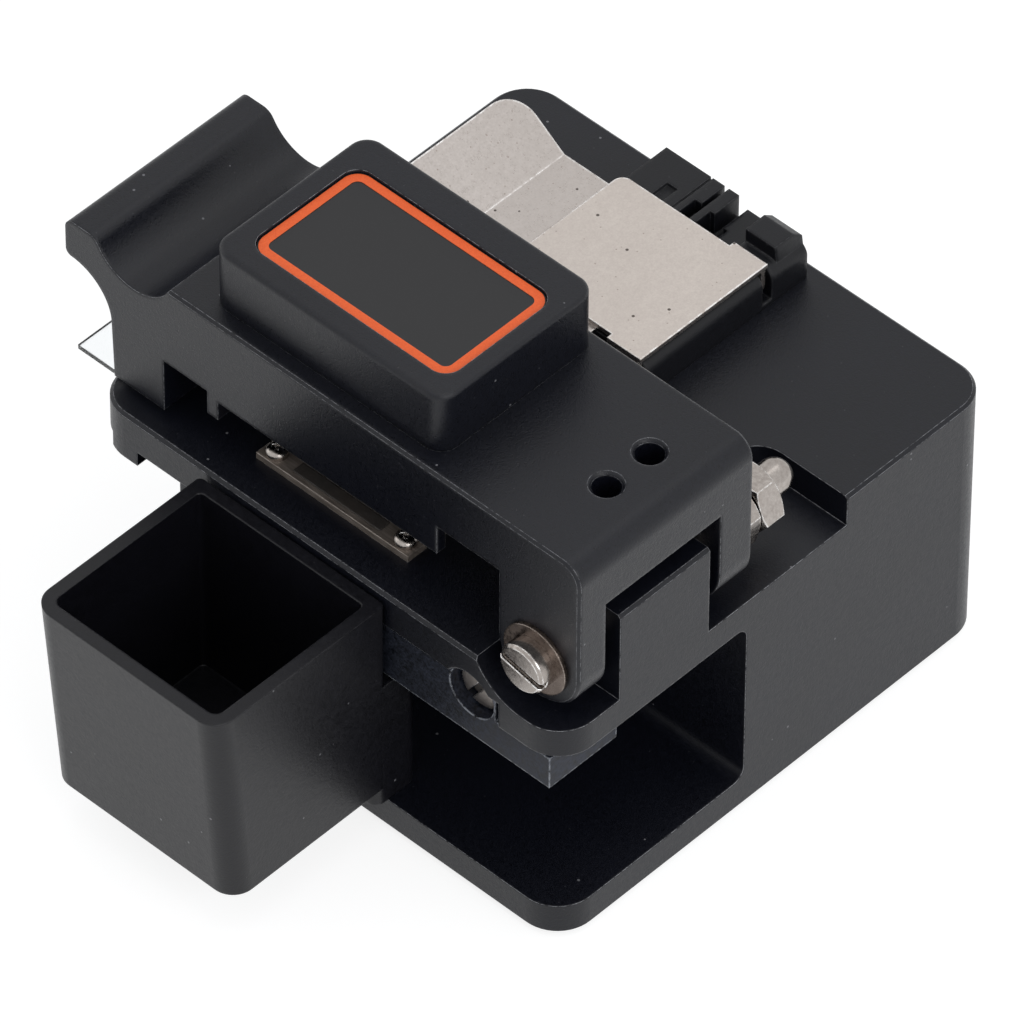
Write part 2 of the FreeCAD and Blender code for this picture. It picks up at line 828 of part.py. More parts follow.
def carriage_screws():
    seat, length, head_side, _ = carriage_screw_seat()
    return Part.makeCompound([socket_screw(x, y, seat, length, head_side)
                              for x, y in carriage_screw_places()])


def push_plate():
    """Bar and finger face at the front, used to push the carriage back."""
    x = from_right(rail_centre) + push_bar_shift
    z1 = slider_bottom() - cross_plate_thickness
    y_back = from_rear(carriage_rear + carriage_length - cross_plate_length)
    y_face = from_rear(push_face_front)
    bar = block(x - push_bar_width / 2, x + push_bar_width / 2, y_face + push_face_thickness / 2, y_back,
                z1 - push_bar_thickness, z1)
    z_mid = push_face_bottom + push_face_height / 2
    face = rounded_plate_y(x, y_face, y_face + push_face_thickness, z_mid, push_face_width, push_face_height,
                           push_face_corner)
    half = push_groove_length / 2
    for i in range(push_groove_count):
        z = z_mid + push_groove_step * (i - (push_groove_count - 1) / 2)
        face = face.cut(rod_x(x - half, x + half, y_face - push_groove_radius / 2, z, push_groove_radius))
    return bar.fuse(face)


def rounded_plate_y(x, y0, y1, z, width, height, radius):
    wire = rounded_outline(x - width / 2, x + width / 2, -height / 2, height / 2, 0, radius)
    plate = Part.Face(wire).extrude(Vector(0, 0, y1 - y0))
    plate.rotate(Vector(0, 0, 0), Vector(1, 0, 0), 90)
    plate.translate(Vector(0, y1, z))
    return plate


# -------------------------------------------------------------------- blade ----

def turned_x(profile, x, y, z):
    """Revolve (offset along x, radius) points about the axis through (y, z)."""
    points = [Vector(x + a, y, z + r) for a, r in profile]
    points.append(points[0])
    return Part.Face(Part.makePolygon(points)).revolve(Vector(x, y, z), Vector(1, 0, 0), 360)


def blade_wheel():
    half = blade_thickness / 2
    profile = [
        (-half, hub_radius),
        (-half, blade_radius - blade_bevel),
        (0, blade_radius),
        (half, blade_radius - blade_bevel),
        (half, hub_radius),
    ]
    return turned_x(profile, from_right(blade_plane), from_rear(axle_from_rear), axle_height)


def blade_hub():
    """Flanged bush that carries the wheel and turns on the axle screw."""
    half = blade_thickness / 2
    gap = blade_plane - half - carriage_left
    bore = axle_diameter / 2 + axle_clearance
    profile = [
        (-half, bore),
        (-half, hub_radius),
        (half, hub_radius),
        (half, hub_radius + hub_flange),
        (half + gap - hub_end_gap, hub_radius + hub_flange),
        (half + gap - hub_end_gap, bore),
    ]
    return turned_x(profile, from_right(blade_plane), from_rear(axle_from_rear), axle_height)


def axle_screw():
    x_head = from_right(carriage_right + axle_head_sink)
    y = from_rear(axle_from_rear)
    head = rod_x(x_head - axle_head_height, x_head, y, axle_height, axle_head_diameter / 2)
    end = from_right(blade_plane + blade_thickness / 2 + hub_end_gap + axle_nut_thickness)
    shank = rod_x(end, x_head - axle_head_height, y, axle_height, axle_diameter / 2)
    screw = head.fuse(shank)
    slot = block(x_head - axle_slot_width, x_head, y - axle_head_diameter, y + axle_head_diameter,
                 axle_height - axle_slot_width / 2, axle_height + axle_slot_width / 2)
    slot.rotate(Vector(x_head, y, axle_height), Vector(1, 0, 0), axle_slot_turn)
    return screw.cut(slot)


def axle_nut():
    x1 = from_right(blade_plane + blade_thickness / 2 + hub_end_gap)
    return hexagon_nut(x1 - axle_nut_thickness, x1, from_rear(axle_from_rear), axle_height, axle_nut_flats,
                       axle_diameter / 2 + shank_clearance)


# -------------------------------------------------------------------- lever ----

def arc_through(centre_y, centre_z, radius, angle_from, angle_to):
    """Middle and end of an arc about a centre; angles in degrees from +Y towards +Z."""
    middle = math.radians((angle_from + angle_to) / 2)
    end = math.radians(angle_to)
    return ((centre_y + radius * math.cos(middle), centre_z + radius * math.sin(middle)),
            (centre_y + radius * math.cos(end), centre_z + radius * math.sin(end)))


def lip_outline():
    """Front of the lever: hollow under the lip, flat front, crest and thumb scoop."""
    y_leg = from_rear(leg_front + leg_lean)
    y_front = from_rear(lip_front)
    chin_z = lever_underside + lip_chin_rise
    throat_y = y_leg - lip_throat_radius
    throat_z = chin_z - lip_throat_radius
    chin_y = y_front + lip_chin_radius
    corner_y = y_front + lip_corner_radius
    corner_z = lip_crest_top - lip_corner_radius
    scoop_y = from_rear(scoop_from_rear)
    scoop_z = scoop_bottom + scoop_radius
    crest_z = lip_crest_top - lip_crest_radius
    crest_y = scoop_y - math.sqrt((scoop_radius + lip_crest_radius) ** 2 - (scoop_z - crest_z) ** 2)
    blend = math.degrees(math.atan2(scoop_z - crest_z, scoop_y - crest_y))
    scoop_end = -math.degrees(math.asin((scoop_z - lever_top) / scoop_radius))
    return [
        (from_rear(leg_front), leg_bottom),
        (y_leg, throat_z),
        arc_through(throat_y, throat_z, lip_throat_radius, 0, 90),
        (chin_y, chin_z),
        arc_through(chin_y, chin_z + lip_chin_radius, lip_chin_radius, 270, 180),
        (y_front, corner_z),
        arc_through(corner_y, corner_z, lip_corner_radius, 180, 90),
        (crest_y, lip_crest_top),
        arc_through(crest_y, crest_z, lip_crest_radius, 90, blend),
        arc_through(scoop_y, scoop_z, scoop_radius, 180 + blend, 360 + scoop_end),
    ]


def lever_outline():
    """Side view of the lever as (y, z) steps."""
    y = from_rear
    r = lever_rear_radius
    return [
        (y(r), lever_top),
        arc_through(y(r), lever_top - r, r, 90, 0),
        (y(0), pin_height),
        arc_through(y(pin_from_rear), pin_height, pin_from_rear, 0, -180),
        (y(2 * pin_from_rear), lever_underside),
        (y(skirt_rear), lever_underside),
        (y(skirt_rear), skirt_bottom),
        (y(skirt_front), skirt_bottom),
        (y(skirt_front), stop_rib_bottom),
        (y(skirt_front + stop_rib_length), stop_rib_bottom),
        (y(skirt_front + stop_rib_length), cross_slot_top),
        (y(leg_rear), cross_slot_top),
        (y(leg_rear), leg_bottom),
    ] + lip_outline()


def lever_arm():
    right, left = lever_frame()
    arm = side_profile(lever_outline(), left, right)
    ends = [e for e in arm.Edges if e.BoundBox.XLength < 1e-6 and e.BoundBox.ZMin > pin_height - 0.1
            and e.BoundBox.YMin > from_rear(scoop_from_rear - scoop_radius)
            and (e.BoundBox.ZMax > lever_top - 1e-3 or e.BoundBox.YMin > from_rear(0) - 1e-3)]
    arm = arm.makeChamfer(lever_edge_chamfer, ends)

    recess = block(left + skirt_thickness, right - skirt_thickness, from_rear(skirt_front),
                   from_rear(skirt_rear), skirt_bottom - 1.0, lever_underside)
    between = block(left + left_ear_width, right - right_ear_width, from_rear(2 * pin_from_rear + 0.5),
                    from_rear(-1.0), pin_height - pin_from_rear - 1.0, lever_underside)
    arm = arm.cut(recess).cut(between)
    arm = arm.cut(rod_x(left - 1.0, right + 1.0, from_rear(pin_from_rear), pin_height,
                        pin_diameter / 2 + shank_clearance))
    for x in top_hole_places():
        y = from_rear(top_hole_from_rear)
        arm = arm.cut(rod_z(x, y, lever_underside - 1.0, lever_top + 1.0, top_hole_diameter / 2))
        sink = Part.makeCone(top_hole_diameter / 2, top_hole_diameter / 2 + 2 * top_hole_countersink,
                             2 * top_hole_countersink, Vector(x, y, lever_top - top_hole_countersink))
        arm = arm.cut(sink)
    for x, y in clamp_stem_places():
        arm = arm.cut(rod_z(x, y, lever_underside - 1.0, lever_top + 1.0,
                            clamp_stem_diameter / 2 + slider_clearance))
        arm = arm.cut(rod_z(x, y, lever_underside - 1.0, spring_ceiling(),
                            spring_outer_diameter / 2 + spring_pocket_gap))
    x, y = anvil_centre()
    arm = arm.cut(rod_z(x, y, lever_underside - 1.0, lever_top + 1.0, anvil_screw_radius + shank_clearance))
    for x, y in cover_screw_places():
        arm = arm.cut(screw_hole(x, y, *cover_screw_seat()))
    return arm


def top_hole_places():
    right, left = lever_frame()
    middle = (right + left) / 2 - 1.2
    return [middle - top_hole_spacing / 2, middle + top_hole_spacing / 2]


def pad_centre():
    right, left = lever_frame()
    return (right + left) / 2 - pad_shift, from_rear(pad_from_rear)


def label_centre():
    right, left = lever_frame()
    return (right + left) / 2, from_rear(label_from_rear)


def cover_screw_places():
    x, y = pad_centre()
    reach_x = pad_width / 2 - cover_screw_inset_x
    reach_y = pad_length / 2 - cover_screw_inset_y
    return [(x + sx * reach_x, y + sy * reach_y) for sx in (-1, 1) for sy in (-1, 1)]


def cover_screw_seat():
    """Seat height, length, head side and mouth of the screws that hold the pad cover."""
    seat = lever_underside + screw_sink + screw_head_height
    return seat, lever_top + cover_screw_bite - seat, -1, lever_underside


def pad_cover():
    """Raised block on the lever that roofs the clamp screws and carries the label."""
    x, y = pad_centre()
    top = lever_top + pad_height
    shell = rounded_block(x - pad_width / 2, x + pad_width / 2, y - pad_length / 2, y + pad_length / 2,
                          lever_top, top, pad_corner_radius)
    rim = [e for e in shell.Edges if abs(e.BoundBox.ZMin - top) < 1e-6]
    shell = shell.makeFillet(pad_edge_radius, rim)
    cavity = rounded_block(x - pad_width / 2 + pad_side_wall, x + pad_width / 2 - pad_side_wall,
                           y - pad_length / 2 + pad_wall, y + pad_length / 2 - pad_wall,
                           lever_top - 1.0, lever_top + pad_cavity_height, pad_cavity_corner)
    shell = shell.cut(cavity).cut(label_outline(0.0, top - label_recess, top + 1.0))
    for sx, sy in cover_screw_places():
        shell = shell.cut(screw_hole(sx, sy, *cover_screw_seat()))
    return shell


def cover_screws():
    seat, length, head_side, _ = cover_screw_seat()
    return Part.makeCompound([socket_screw(x, y, seat, length, head_side) for x, y in cover_screw_places()])


def label_outline(gap, z0, z1):
    x, y = label_centre()
    reach_x = label_width / 2 - gap
    reach_y = label_length / 2 - gap
    radius = label_corner_radius - gap
    return rounded_block(x - reach_x, x + reach_x, y - reach_y, y + reach_y, z0, z1, radius)


def label_plate():
    z0 = lever_top + pad_height - label_recess
    return label_outline(label_gap, z0, z0 + label_thickness)


# ---------------------------------------------------------- pivot hardware ----

def pivot_screw():
    right, left = lever_frame()
    y = from_rear(pin_from_rear)
    r = pin_diameter / 2
    seat = right + washer_thickness
    nuts_end = left - nut_gap - 2 * nut_thickness - nut_gap
    tip = nuts_end - thread_stand_out
    shank = rod_x(tip + r, seat, y, pin_height, r)
    dome = Part.makeSphere(r, Vector(tip + r, y, pin_height))
    head = rod_x(seat, seat + head_height, y, pin_height, head_diameter / 2)
    rim = [e for e in head.Edges if abs(e.BoundBox.XMin - seat - head_height) < 1e-6]
    head = head.makeChamfer(head_edge, rim)
    slot = block(seat + head_height - head_slot_depth, seat + head_height + 1.0, y - head_diameter,
                 y + head_diameter, pin_height - head_slot_width / 2, pin_height + head_slot_width / 2)
    slot.rotate(Vector(seat, y, pin_height), Vector(1, 0, 0), -12)
    return head.cut(slot).fuse(shank).fuse(dome)


def washer(x0, x1, y, z, outer, inner):
    return rod_x(x0, x1, y, z, outer).cut(rod_x(x0 - 1.0, x1 + 1.0, y, z, inner))


def pivot_washer():
    right = lever_frame()[0]
    return washer(right, right + washer_thickness, from_rear(pin_from_rear), pin_height, washer_diameter / 2,
                  pin_diameter / 2 + shank_clearance)


def pivot_nuts():
    left = lever_frame()[1]
    y = from_rear(pin_from_rear)
    nuts = []
    x1 = left
    for i in range(2):
        nuts.append(hexagon_nut(x1 - nut_thickness, x1, y, pin_height, nut_flats,
                                pin_diameter / 2 + shank_clearance))
        x1 = x1 - nut_thickness - nut_gap
    return Part.makeCompound(nuts)


# ------------------------------------------------------------- upper clamp ----

def anvil_centre():
    return from_right(blade_plane), from_rear(fibre_from_rear)


def clamp_stem_places():
    x, y = anvil_centre()
    return [(x, y - clamp_stem_spacing / 2), (x, y + clamp_stem_spacing / 2)]


def spring_ceiling():
    return upper_block_bottom + upper_block_height + spring_height + 2 * spring_end_gap


def upper_clamp_block():
    x, y = anvil_centre()
    z0 = upper_block_bottom
    z1 = z0 + upper_block_height
    body = block(x - upper_block_width / 2, x + upper_block_width / 2, y - upper_block_length / 2,
                 y + upper_block_length / 2, z0, z1)
    reach_y = anvil_length / 2 + anvil_side_gap
    reach_bar = anvil_width / 2 + anvil_side_gap
    reach_head = anvil_head_width / 2 + anvil_side_gap
    slot = block(x - reach_bar, x + reach_bar, y - reach_y, y + reach_y, z0 - 1.0, z1 + 1.0)
    head_room = block(x - reach_head, x + reach_head, y - reach_y, y + reach_y,
                      lever_underside - anvil_flange - clamp_travel - anvil_side_gap, z1 + 1.0)
    body = body.cut(slot).cut(head_room)
    for side in (-1, 1):
        px = x + side * upper_pad_offset()
        body = body.cut(block(px - upper_pad_width / 2, px + upper_pad_width / 2, y - upper_pad_length / 2,
                              y + upper_pad_length / 2, z0 - 1.0, z0 + upper_pad_seat))
    for sx, sy in clamp_stem_places():
        body = body.cut(rod_z(sx, sy, z0 + clamp_stem_floor, z1 + 1.0,
                              clamp_stem_diameter / 2 + shank_clearance))
    return body


def upper_pad_offset():
    return upper_block_width / 2 - upper_pad_edge - upper_pad_width / 2


def upper_pad(side):
    x, y = anvil_centre()
    px = x + side * upper_pad_offset()
    pad = block(px - upper_pad_width / 2, px + upper_pad_width / 2, y - upper_pad_length / 2,
                y + upper_pad_length / 2, upper_pad_bottom, upper_block_bottom + upper_pad_seat)
    low = [e for e in pad.Edges if abs(e.BoundBox.ZMax - upper_pad_bottom) < 1e-6
           and e.BoundBox.YLength > 5.0]
    return pad.makeFillet(upper_pad_radius, low)


def clamp_stems():
    """Shoulder screws that hang the clamp block from the lever."""
    z_low = upper_block_bottom + clamp_stem_floor
    stems = []
    for x, y in clamp_stem_places():
        stem = rod_z(x, y, z_low, lever_top, clamp_stem_diameter / 2)
        head = rod_z(x, y, lever_top, lever_top + clamp_stem_head_height, clamp_stem_head / 2)
        slot = block(x - clamp_stem_head, x + clamp_stem_head, y - 0.4, y + 0.4,
                     lever_top + clamp_stem_head_height - 0.7, lever_top + clamp_stem_head_height + 1.0)
        stems.append(head.cut(slot).fuse(stem))
    return Part.makeCompound(stems)


def flat_wire_spring(x, y, z0):
    """Spring wound from flat wire: four helices joined by ruled faces, closed by two end faces."""
    pitch = (spring_height - spring_wire_height) / spring_turns
    outer = spring_outer_diameter / 2
    inner = outer - spring_wire_width
    helices = []
    top = z0 + spring_wire_height
    for radius, z in ((inner, z0), (outer, z0), (outer, top), (inner, top)):
        helix = Part.makeHelix(pitch, pitch * spring_turns, radius)
        helix.translate(Vector(x, y, z))
        helices.append(helix)
    faces = []
    for i, helix in enumerate(helices):
        faces += Part.makeRuledSurface(helix, helices[(i + 1) % len(helices)]).Faces
    starts = [h.Edges[0].valueAt(h.Edges[0].FirstParameter) for h in helices]
    ends = [h.Edges[-1].valueAt(h.Edges[-1].LastParameter) for h in helices]
    for corners in (starts, ends):
        faces.append(Part.Face(Part.makePolygon(corners + corners[:1])))
    shell = Part.makeShell(faces)
    shell.sewShape()
    return Part.makeSolid(Part.Shell(shell.Faces))


def clamp_springs():
    z0 = upper_block_bottom + upper_block_height + spring_end_gap
    return Part.makeCompound([flat_wire_spring(x, y, z0) for x, y in clamp_stem_places()])


def anvil():
    """Blunt bar that bends the scored fibre; its head is screwed under the lever."""
    x, y = anvil_centre()
    z_head = lever_underside - anvil_flange
    r = anvil_width / 2
    bar = block(x - r, x + r, y - anvil_length / 2, y + anvil_length / 2, anvil_bottom + r, z_head)
    nose = Part.makeCylinder(r, anvil_length, Vector(x, y - anvil_length / 2, anvil_bottom + r),
                             Vector(0, 1, 0))
    head = block(x - anvil_head_width / 2, x + anvil_head_width / 2, y - anvil_length / 2,
                 y + anvil_length / 2, z_head, lever_underside)
    hole = rod_z(x, y, z_head + screw_sink, lever_underside + 1.0, anvil_screw_radius + shank_clearance)
    return bar.fuse(nose).fuse(head).cut(hole)


def anvil_screw():
    x, y = anvil_centre()
    top = lever_top + anvil_screw_head_height
    shank = rod_z(x, y, lever_underside - anvil_flange + screw_sink, lever_top, anvil_screw_radius)
    head = rod_z(x, y, lever_top, top, anvil_screw_head_radius)
    socket = hexagon_z(x, y, top - screw_socket_depth, top, anvil_screw_radius)
    return head.cut(socket).fuse(shank)


# ------------------------------------------------------------ fibre holder ----

def holder_cheek():
    """Raised cheek at the holder's rear left corner; it carries one end of the lid's pin."""
    x0 = from_right(cheek_left)
    y1 = from_rear(holder_rear)
    path = [
        (y1, body_top),
        (y1 - cheek_lean, cheek_top),
        (from_rear(cheek_front), cheek_top),
        (from_rear(cheek_front), body_top),
    ]
    cheek = side_profile(path, x0, from_right(cheek_right))
    bevel = Part.makePolygon([
        Vector(x0, y1 + 1.0, cheek_top),
        Vector(x0 + cheek_bevel_width, y1 + 1.0, cheek_top),
        Vector(x0, y1 + 1.0, cheek_top - cheek_bevel_height),
        Vector(x0, y1 + 1.0, cheek_top),
    ])
    return cheek.cut(Part.Face(bevel).extrude(Vector(0, from_rear(cheek_front) - y1 - 2.0, 0)))


def holder_cut(right, left, front, rear, depth):
    """Pocket sunk from the holder's top; distances as from_right and from_rear."""
    return block(from_right(left), from_right(right), from_rear(front), from_rear(rear),
                 holder_top - depth, holder_top + 1.0)


def holder_base():
    """Block under the lid, stepped and slotted across, with a cheek for the lid's pin."""
    x1 = from_right(holder_right)
    x0 = from_right(holder_left)
    y0 = from_rear(holder_front)
    y1 = from_rear(holder_rear)
    body = block(x0, x1, y0, y1, body_top, holder_top)
    back = [e for e in body.Edges if abs(e.BoundBox.ZMin - holder_top) < 1e-6
            and abs(e.BoundBox.YMin - y1) < 1e-6]
    body = body.makeFillet(holder_back_radius, back)
    open_right = holder_right - 1.0
    open_left = holder_left + 1.0
    fine_slot_rear = fine_slot_front - fine_slot_width
    wide_slot_front = shelf_front + wide_slot_width
    cuts = [
        holder_cut(open_right, open_left, scribe_from_rear + scribe_width, scribe_from_rear, scribe_depth),
        holder_cut(open_right, open_left, fine_slot_front, fine_slot_rear, fine_slot_depth),
        holder_cut(lid_left - 1.0, lid_left + fine_pocket_reach, fine_slot_rear + fine_pocket_width,
                   fine_slot_rear, fine_pocket_depth),
        holder_cut(open_right, lid_left + wide_slot_step, wide_slot_front, shelf_front, wide_slot_depth),
        holder_cut(lid_left, open_left, wide_slot_front - wide_slot_inset, shelf_front + wide_slot_inset,
                   wide_slot_depth),
        holder_cut(lid_left - lid_ear_gap, open_left, shelf_front + wide_slot_inset, cheek_front, shelf_drop),
        holder_cut(lid_left - 1.0, lid_left + rest_pocket_width, rest_pocket_from_rear + rest_pocket_length,
                   rest_pocket_from_rear, rest_pocket_depth),
    ]
    for cutter in cuts:
        body = body.cut(cutter)
    body = body.cut(block(x0 - 1.0, from_right(cheek_left), from_rear(cheek_front), y1 + 1.0, body_top,
                          holder_top + 1.0))
    body = body.fuse(holder_cheek())
    ear_rear = from_rear(holder_rear - 2.0)
    ear_front = from_rear(lid_rear + lid_ear_length + lid_ear_gap)
    ear_floor = lid_pin_height - lid_ear_radius - lid_ear_gap
    ear_right = from_right(lid_left - lid_thickness - lid_ear_gap)
    body = body.cut(block(from_right(lid_left + lid_ear_gap), ear_right, ear_front, ear_rear, ear_floor,
                          holder_top + 1.0))
    body = body.cut(rod_x(from_right(lid_right - 1.0), lid_pin_end(), from_rear(lid_pin_from_rear),
                          lid_pin_height, lid_pin_diameter / 2 + shank_clearance))
    for x, y in holder_screw_places():
        body = body.cut(screw_hole(x, y, *holder_screw_seat()))
    mx, my = magnet_place()
    return body.cut(rod_z(mx, my, magnet_bottom(), holder_top + 1.0, magnet_diameter / 2 + magnet_gap))


def magnet_place():
    return from_right((lid_right + lid_left) / 2), from_rear(holder_front - magnet_from_front)


def magnet_bottom():
    return holder_top - screw_sink - magnet_height


def holder_magnet():
    x, y = magnet_place()
    return rod_z(x, y, magnet_bottom(), magnet_bottom() + magnet_height, magnet_diameter / 2)


def holder_screws():
    seat, length, head_side, _ = holder_screw_seat()
    return Part.makeCompound([socket_screw(x, y, seat, length, head_side) for x, y in holder_screw_places()])


def lid_pin_end():
    """Blind end of the pin's bore, inside the cheek."""
    return from_right(cheek_left - lid_pin_wall)


def holder_pin():
    x1 = from_right(lid_right - lid_pin_proud)
    return rod_x(lid_pin_end() + shank_clearance, x1, from_rear(lid_pin_from_rear), lid_pin_height,
                 lid_pin_diameter / 2)


def lid_levels():
    z0 = holder_top + lid_gap + leaf_thickness
    return z0, z0 + lid_thickness


def lid_plate():
    """Top sheet of the lid, with two ears folded down round the pin."""
    z0, z1 = lid_levels()
    xl = from_right(lid_left)
    xr = from_right(lid_right)
    y_step = from_rear(lid_rear + lid_ear_length)
    front = rounded_block(xl + lid_ear_step, xr - lid_ear_step, from_rear(lid_front), y_step + 2.0, z0, z1,
                          lid_corner_radius)
    rear = block(xl, xr, y_step, from_rear(lid_rear), z0, z1)
    plate = front.fuse(rear)
    for x in (xl, xr - lid_thickness):
        y = from_rear(lid_pin_from_rear)
        ear = block(x, x + lid_thickness, y - lid_ear_radius, y + lid_ear_radius, lid_pin_height, z0)
        ear = ear.fuse(rod_x(x, x + lid_thickness, y, lid_pin_height, lid_ear_radius))
        hole = rod_x(x - 1.0, x + lid_thickness + 1.0, y, lid_pin_height, lid_pin_diameter / 2 + lid_pin_play)
        plate = plate.fuse(ear).cut(hole)
    return plate


def press_leaf():
    """Spring leaf welded under the lid; its front lifts as a finger tab."""
    z1 = lid_levels()[0]
    z0 = z1 - leaf_thickness
    x0 = from_right(leaf_left)
    x1 = from_right(leaf_right)
    y_bend = from_rear(leaf_bend)
    flat = block(x0, x1, y_bend, from_rear(leaf_rear), z0, z1)
    y_tip = y_bend - leaf_tab_length
    middle = (x0 + x1) / 2
    left = rounded_block(x0, x1, y_tip, y_bend + 2 * leaf_left_radius, z0, z1, leaf_left_radius)
    right = rounded_block(x0, x1, y_tip, y_bend + 2 * leaf_left_radius, z0, z1, leaf_right_radius)
    left = left.common(block(x0, middle, y_tip, y_bend, z0, z1))
    right = right.common(block(middle, x1, y_tip, y_bend, z0, z1))
    tab = left.fuse(right).removeSplitter()
    tab.rotate(Vector(middle, y_bend, z1), Vector(1, 0, 0), -leaf_lift)
    fold = Part.makeCylinder(leaf_thickness, x1 - x0, Vector(x0, y_bend, z1), Vector(1, 0, 0))
    fold = fold.common(block(x0, x1, y_bend - leaf_thickness, y_bend, z0 - 1.0, z1))
    return flat.fuse(fold).fuse(tab)


# --------------------------------------------------------------- scrap bin ----

def bin_tub(inset, z_low, z_high):
    """Tapered tub, shrunk by inset."""
    x0 = from_right(-bin_gap) + inset
    x1 = from_right(-bin_gap) + bin_width - inset
    y0 = from_rear(bin_rear + bin_depth) + inset
    y1 = from_rear(bin_rear) - inset
    r = max(bin_corner_radius - inset, bin_inner_radius)
    rim = rounded_outline(x0, x1, y0, y1, z_high, r, bin_inside_corner)
    foot = rounded_outline(x0, x1 - bin_draft, y0, y1, z_low, r, bin_inside_corner)
    return Part.makeLoft([foot, rim], True, True)


def bin_toe(inset, z_low, reach_out):
    """Foot that slides under the deck; hollow from beneath."""
    y0 = from_rear(bin_rear + bin_depth) + bin_toe_inset + inset
    y1 = from_rear(bin_rear) - inset
    return rounded_block(from_right(bin_toe_reach) + inset, from_right(-bin_gap) + reach_out, y0, y1,
                         z_low, bin_toe_top - inset, bin_toe_radius)


def scrap_bin():
    foot = tunnel_floor + bin_clearance
    tub = bin_tub(0.0, bin_bottom, bin_rim)
    hollow = bin_tub(bin_wall, bin_bottom + bin_wall, bin_rim + 1.0)
    toe = bin_toe(0.0, foot, bin_wall)
    under = bin_toe(bin_wall, foot - 1.0, 0.0)
    return tub.fuse(toe).cut(hollow).cut(under)


def clear_film():
    x1 = from_right(film_right)
    return block(x1 - film_width, x1, from_rear(film_front), from_rear(film_rear), body_top,
                 body_top + film_thickness)


def build_all():
    centres = plate_centres()
    return {
        "base_block": base_block(),
        "rubber_sole": rubber_sole(),
        "scrap_rest_plate": deck_plate(centres["scrap"]),
        "scrap_rest_strip": deck_strip(centres["scrap"]),
        "lower_clamp_plate_right": deck_plate(centres["right"]),
        "lower_clamp_strip_right": deck_strip(centres["right"]),
        "lower_clamp_plate_left": deck_plate(centres["left"]),
        "lower_clamp_strip_left": deck_strip(centres["left"]),
        "plate_screws": plate_screws(),
        "guide_rail": guide_rail(),
        "rail_screws": rail_screws(),
        "rail_stops": rail_stops(),
        "guide_block": guide_block(),
        "blade_carriage": blade_carriage(),
        "carriage_screws": carriage_screws(),
        "push_plate": push_plate(),
        "axle_screw": axle_screw(),
        "axle_nut": axle_nut(),
        "blade_wheel": blade_wheel(),
        "blade_hub": blade_hub(),
        "lever_arm": lever_arm(),
        "pad_cover": pad_cover(),
        "cover_screws": cover_screws(),
        "label_plate": label_plate(),
        "pivot_screw": pivot_screw(),
        "pivot_washer": pivot_washer(),
        "pivot_nuts": pivot_nuts(),
        "anvil": anvil(),
        "anvil_screw": anvil_screw(),
        "upper_clamp_block": upper_clamp_block(),
        "upper_pad_right": upper_pad(1),
        "upper_pad_left": upper_pad(-1),
        "clamp_stems": clamp_stems(),
        "clamp_springs": clamp_springs(),
        "holder_base": holder_base(),
        "holder_screws": holder_screws(),
        "holder_magnet": holder_magnet(),
        "holder_pin": holder_pin(),
        "lid_plate": lid_plate(),
        "press_leaf": press_leaf(),
        "scrap_bin": scrap_bin(),
        "clear_film": clear_film(),
    }


os.makedirs("parts", exist_ok=True)
for name, shape in build_all().items():
    box = shape.BoundBox
    print(name, "solids", len(shape.Solids), "valid", shape.isValid(), "volume", round(shape.Volume, 1),
          "box", [round(v, 2) for v in (box.XMin, box.XMax, box.YMin, box.YMax, box.ZMin, box.ZMax)])
    shape.exportStep("parts/" + name + ".step")
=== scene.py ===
import bpy
import bmesh
import math
from mathutils import Matrix, Vector


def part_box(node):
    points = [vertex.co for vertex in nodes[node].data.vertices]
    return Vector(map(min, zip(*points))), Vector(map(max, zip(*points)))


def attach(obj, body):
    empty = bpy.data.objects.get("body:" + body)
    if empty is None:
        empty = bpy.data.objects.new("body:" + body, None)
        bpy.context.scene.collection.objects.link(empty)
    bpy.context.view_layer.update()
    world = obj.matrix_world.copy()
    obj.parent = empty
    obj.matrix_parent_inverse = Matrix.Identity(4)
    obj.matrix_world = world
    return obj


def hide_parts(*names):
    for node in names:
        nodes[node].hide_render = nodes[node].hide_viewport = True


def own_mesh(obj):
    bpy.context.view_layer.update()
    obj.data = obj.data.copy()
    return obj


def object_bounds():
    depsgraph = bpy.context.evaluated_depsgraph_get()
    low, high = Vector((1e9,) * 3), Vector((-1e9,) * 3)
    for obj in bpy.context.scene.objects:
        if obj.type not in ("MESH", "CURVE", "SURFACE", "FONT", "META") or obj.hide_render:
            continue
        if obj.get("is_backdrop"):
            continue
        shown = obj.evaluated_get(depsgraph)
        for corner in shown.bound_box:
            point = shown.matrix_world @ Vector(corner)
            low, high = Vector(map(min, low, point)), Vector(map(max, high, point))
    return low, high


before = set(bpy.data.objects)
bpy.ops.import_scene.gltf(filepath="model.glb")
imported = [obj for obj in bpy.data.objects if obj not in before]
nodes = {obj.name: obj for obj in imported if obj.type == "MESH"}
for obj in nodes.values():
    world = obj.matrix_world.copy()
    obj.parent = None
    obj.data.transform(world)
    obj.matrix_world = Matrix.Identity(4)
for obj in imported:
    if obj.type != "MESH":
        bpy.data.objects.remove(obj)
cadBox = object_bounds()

mm = 0.001


def srgb(red, green, blue):
    # 0-255 screen values to linear
    out = []
    for value in (red, green, blue):
        c = value / 255
        out.append(c / 12.92 if c <= 0.04045 else ((c + 0.055) / 1.055) ** 2.4)
    return (out[0], out[1], out[2], 1.0)


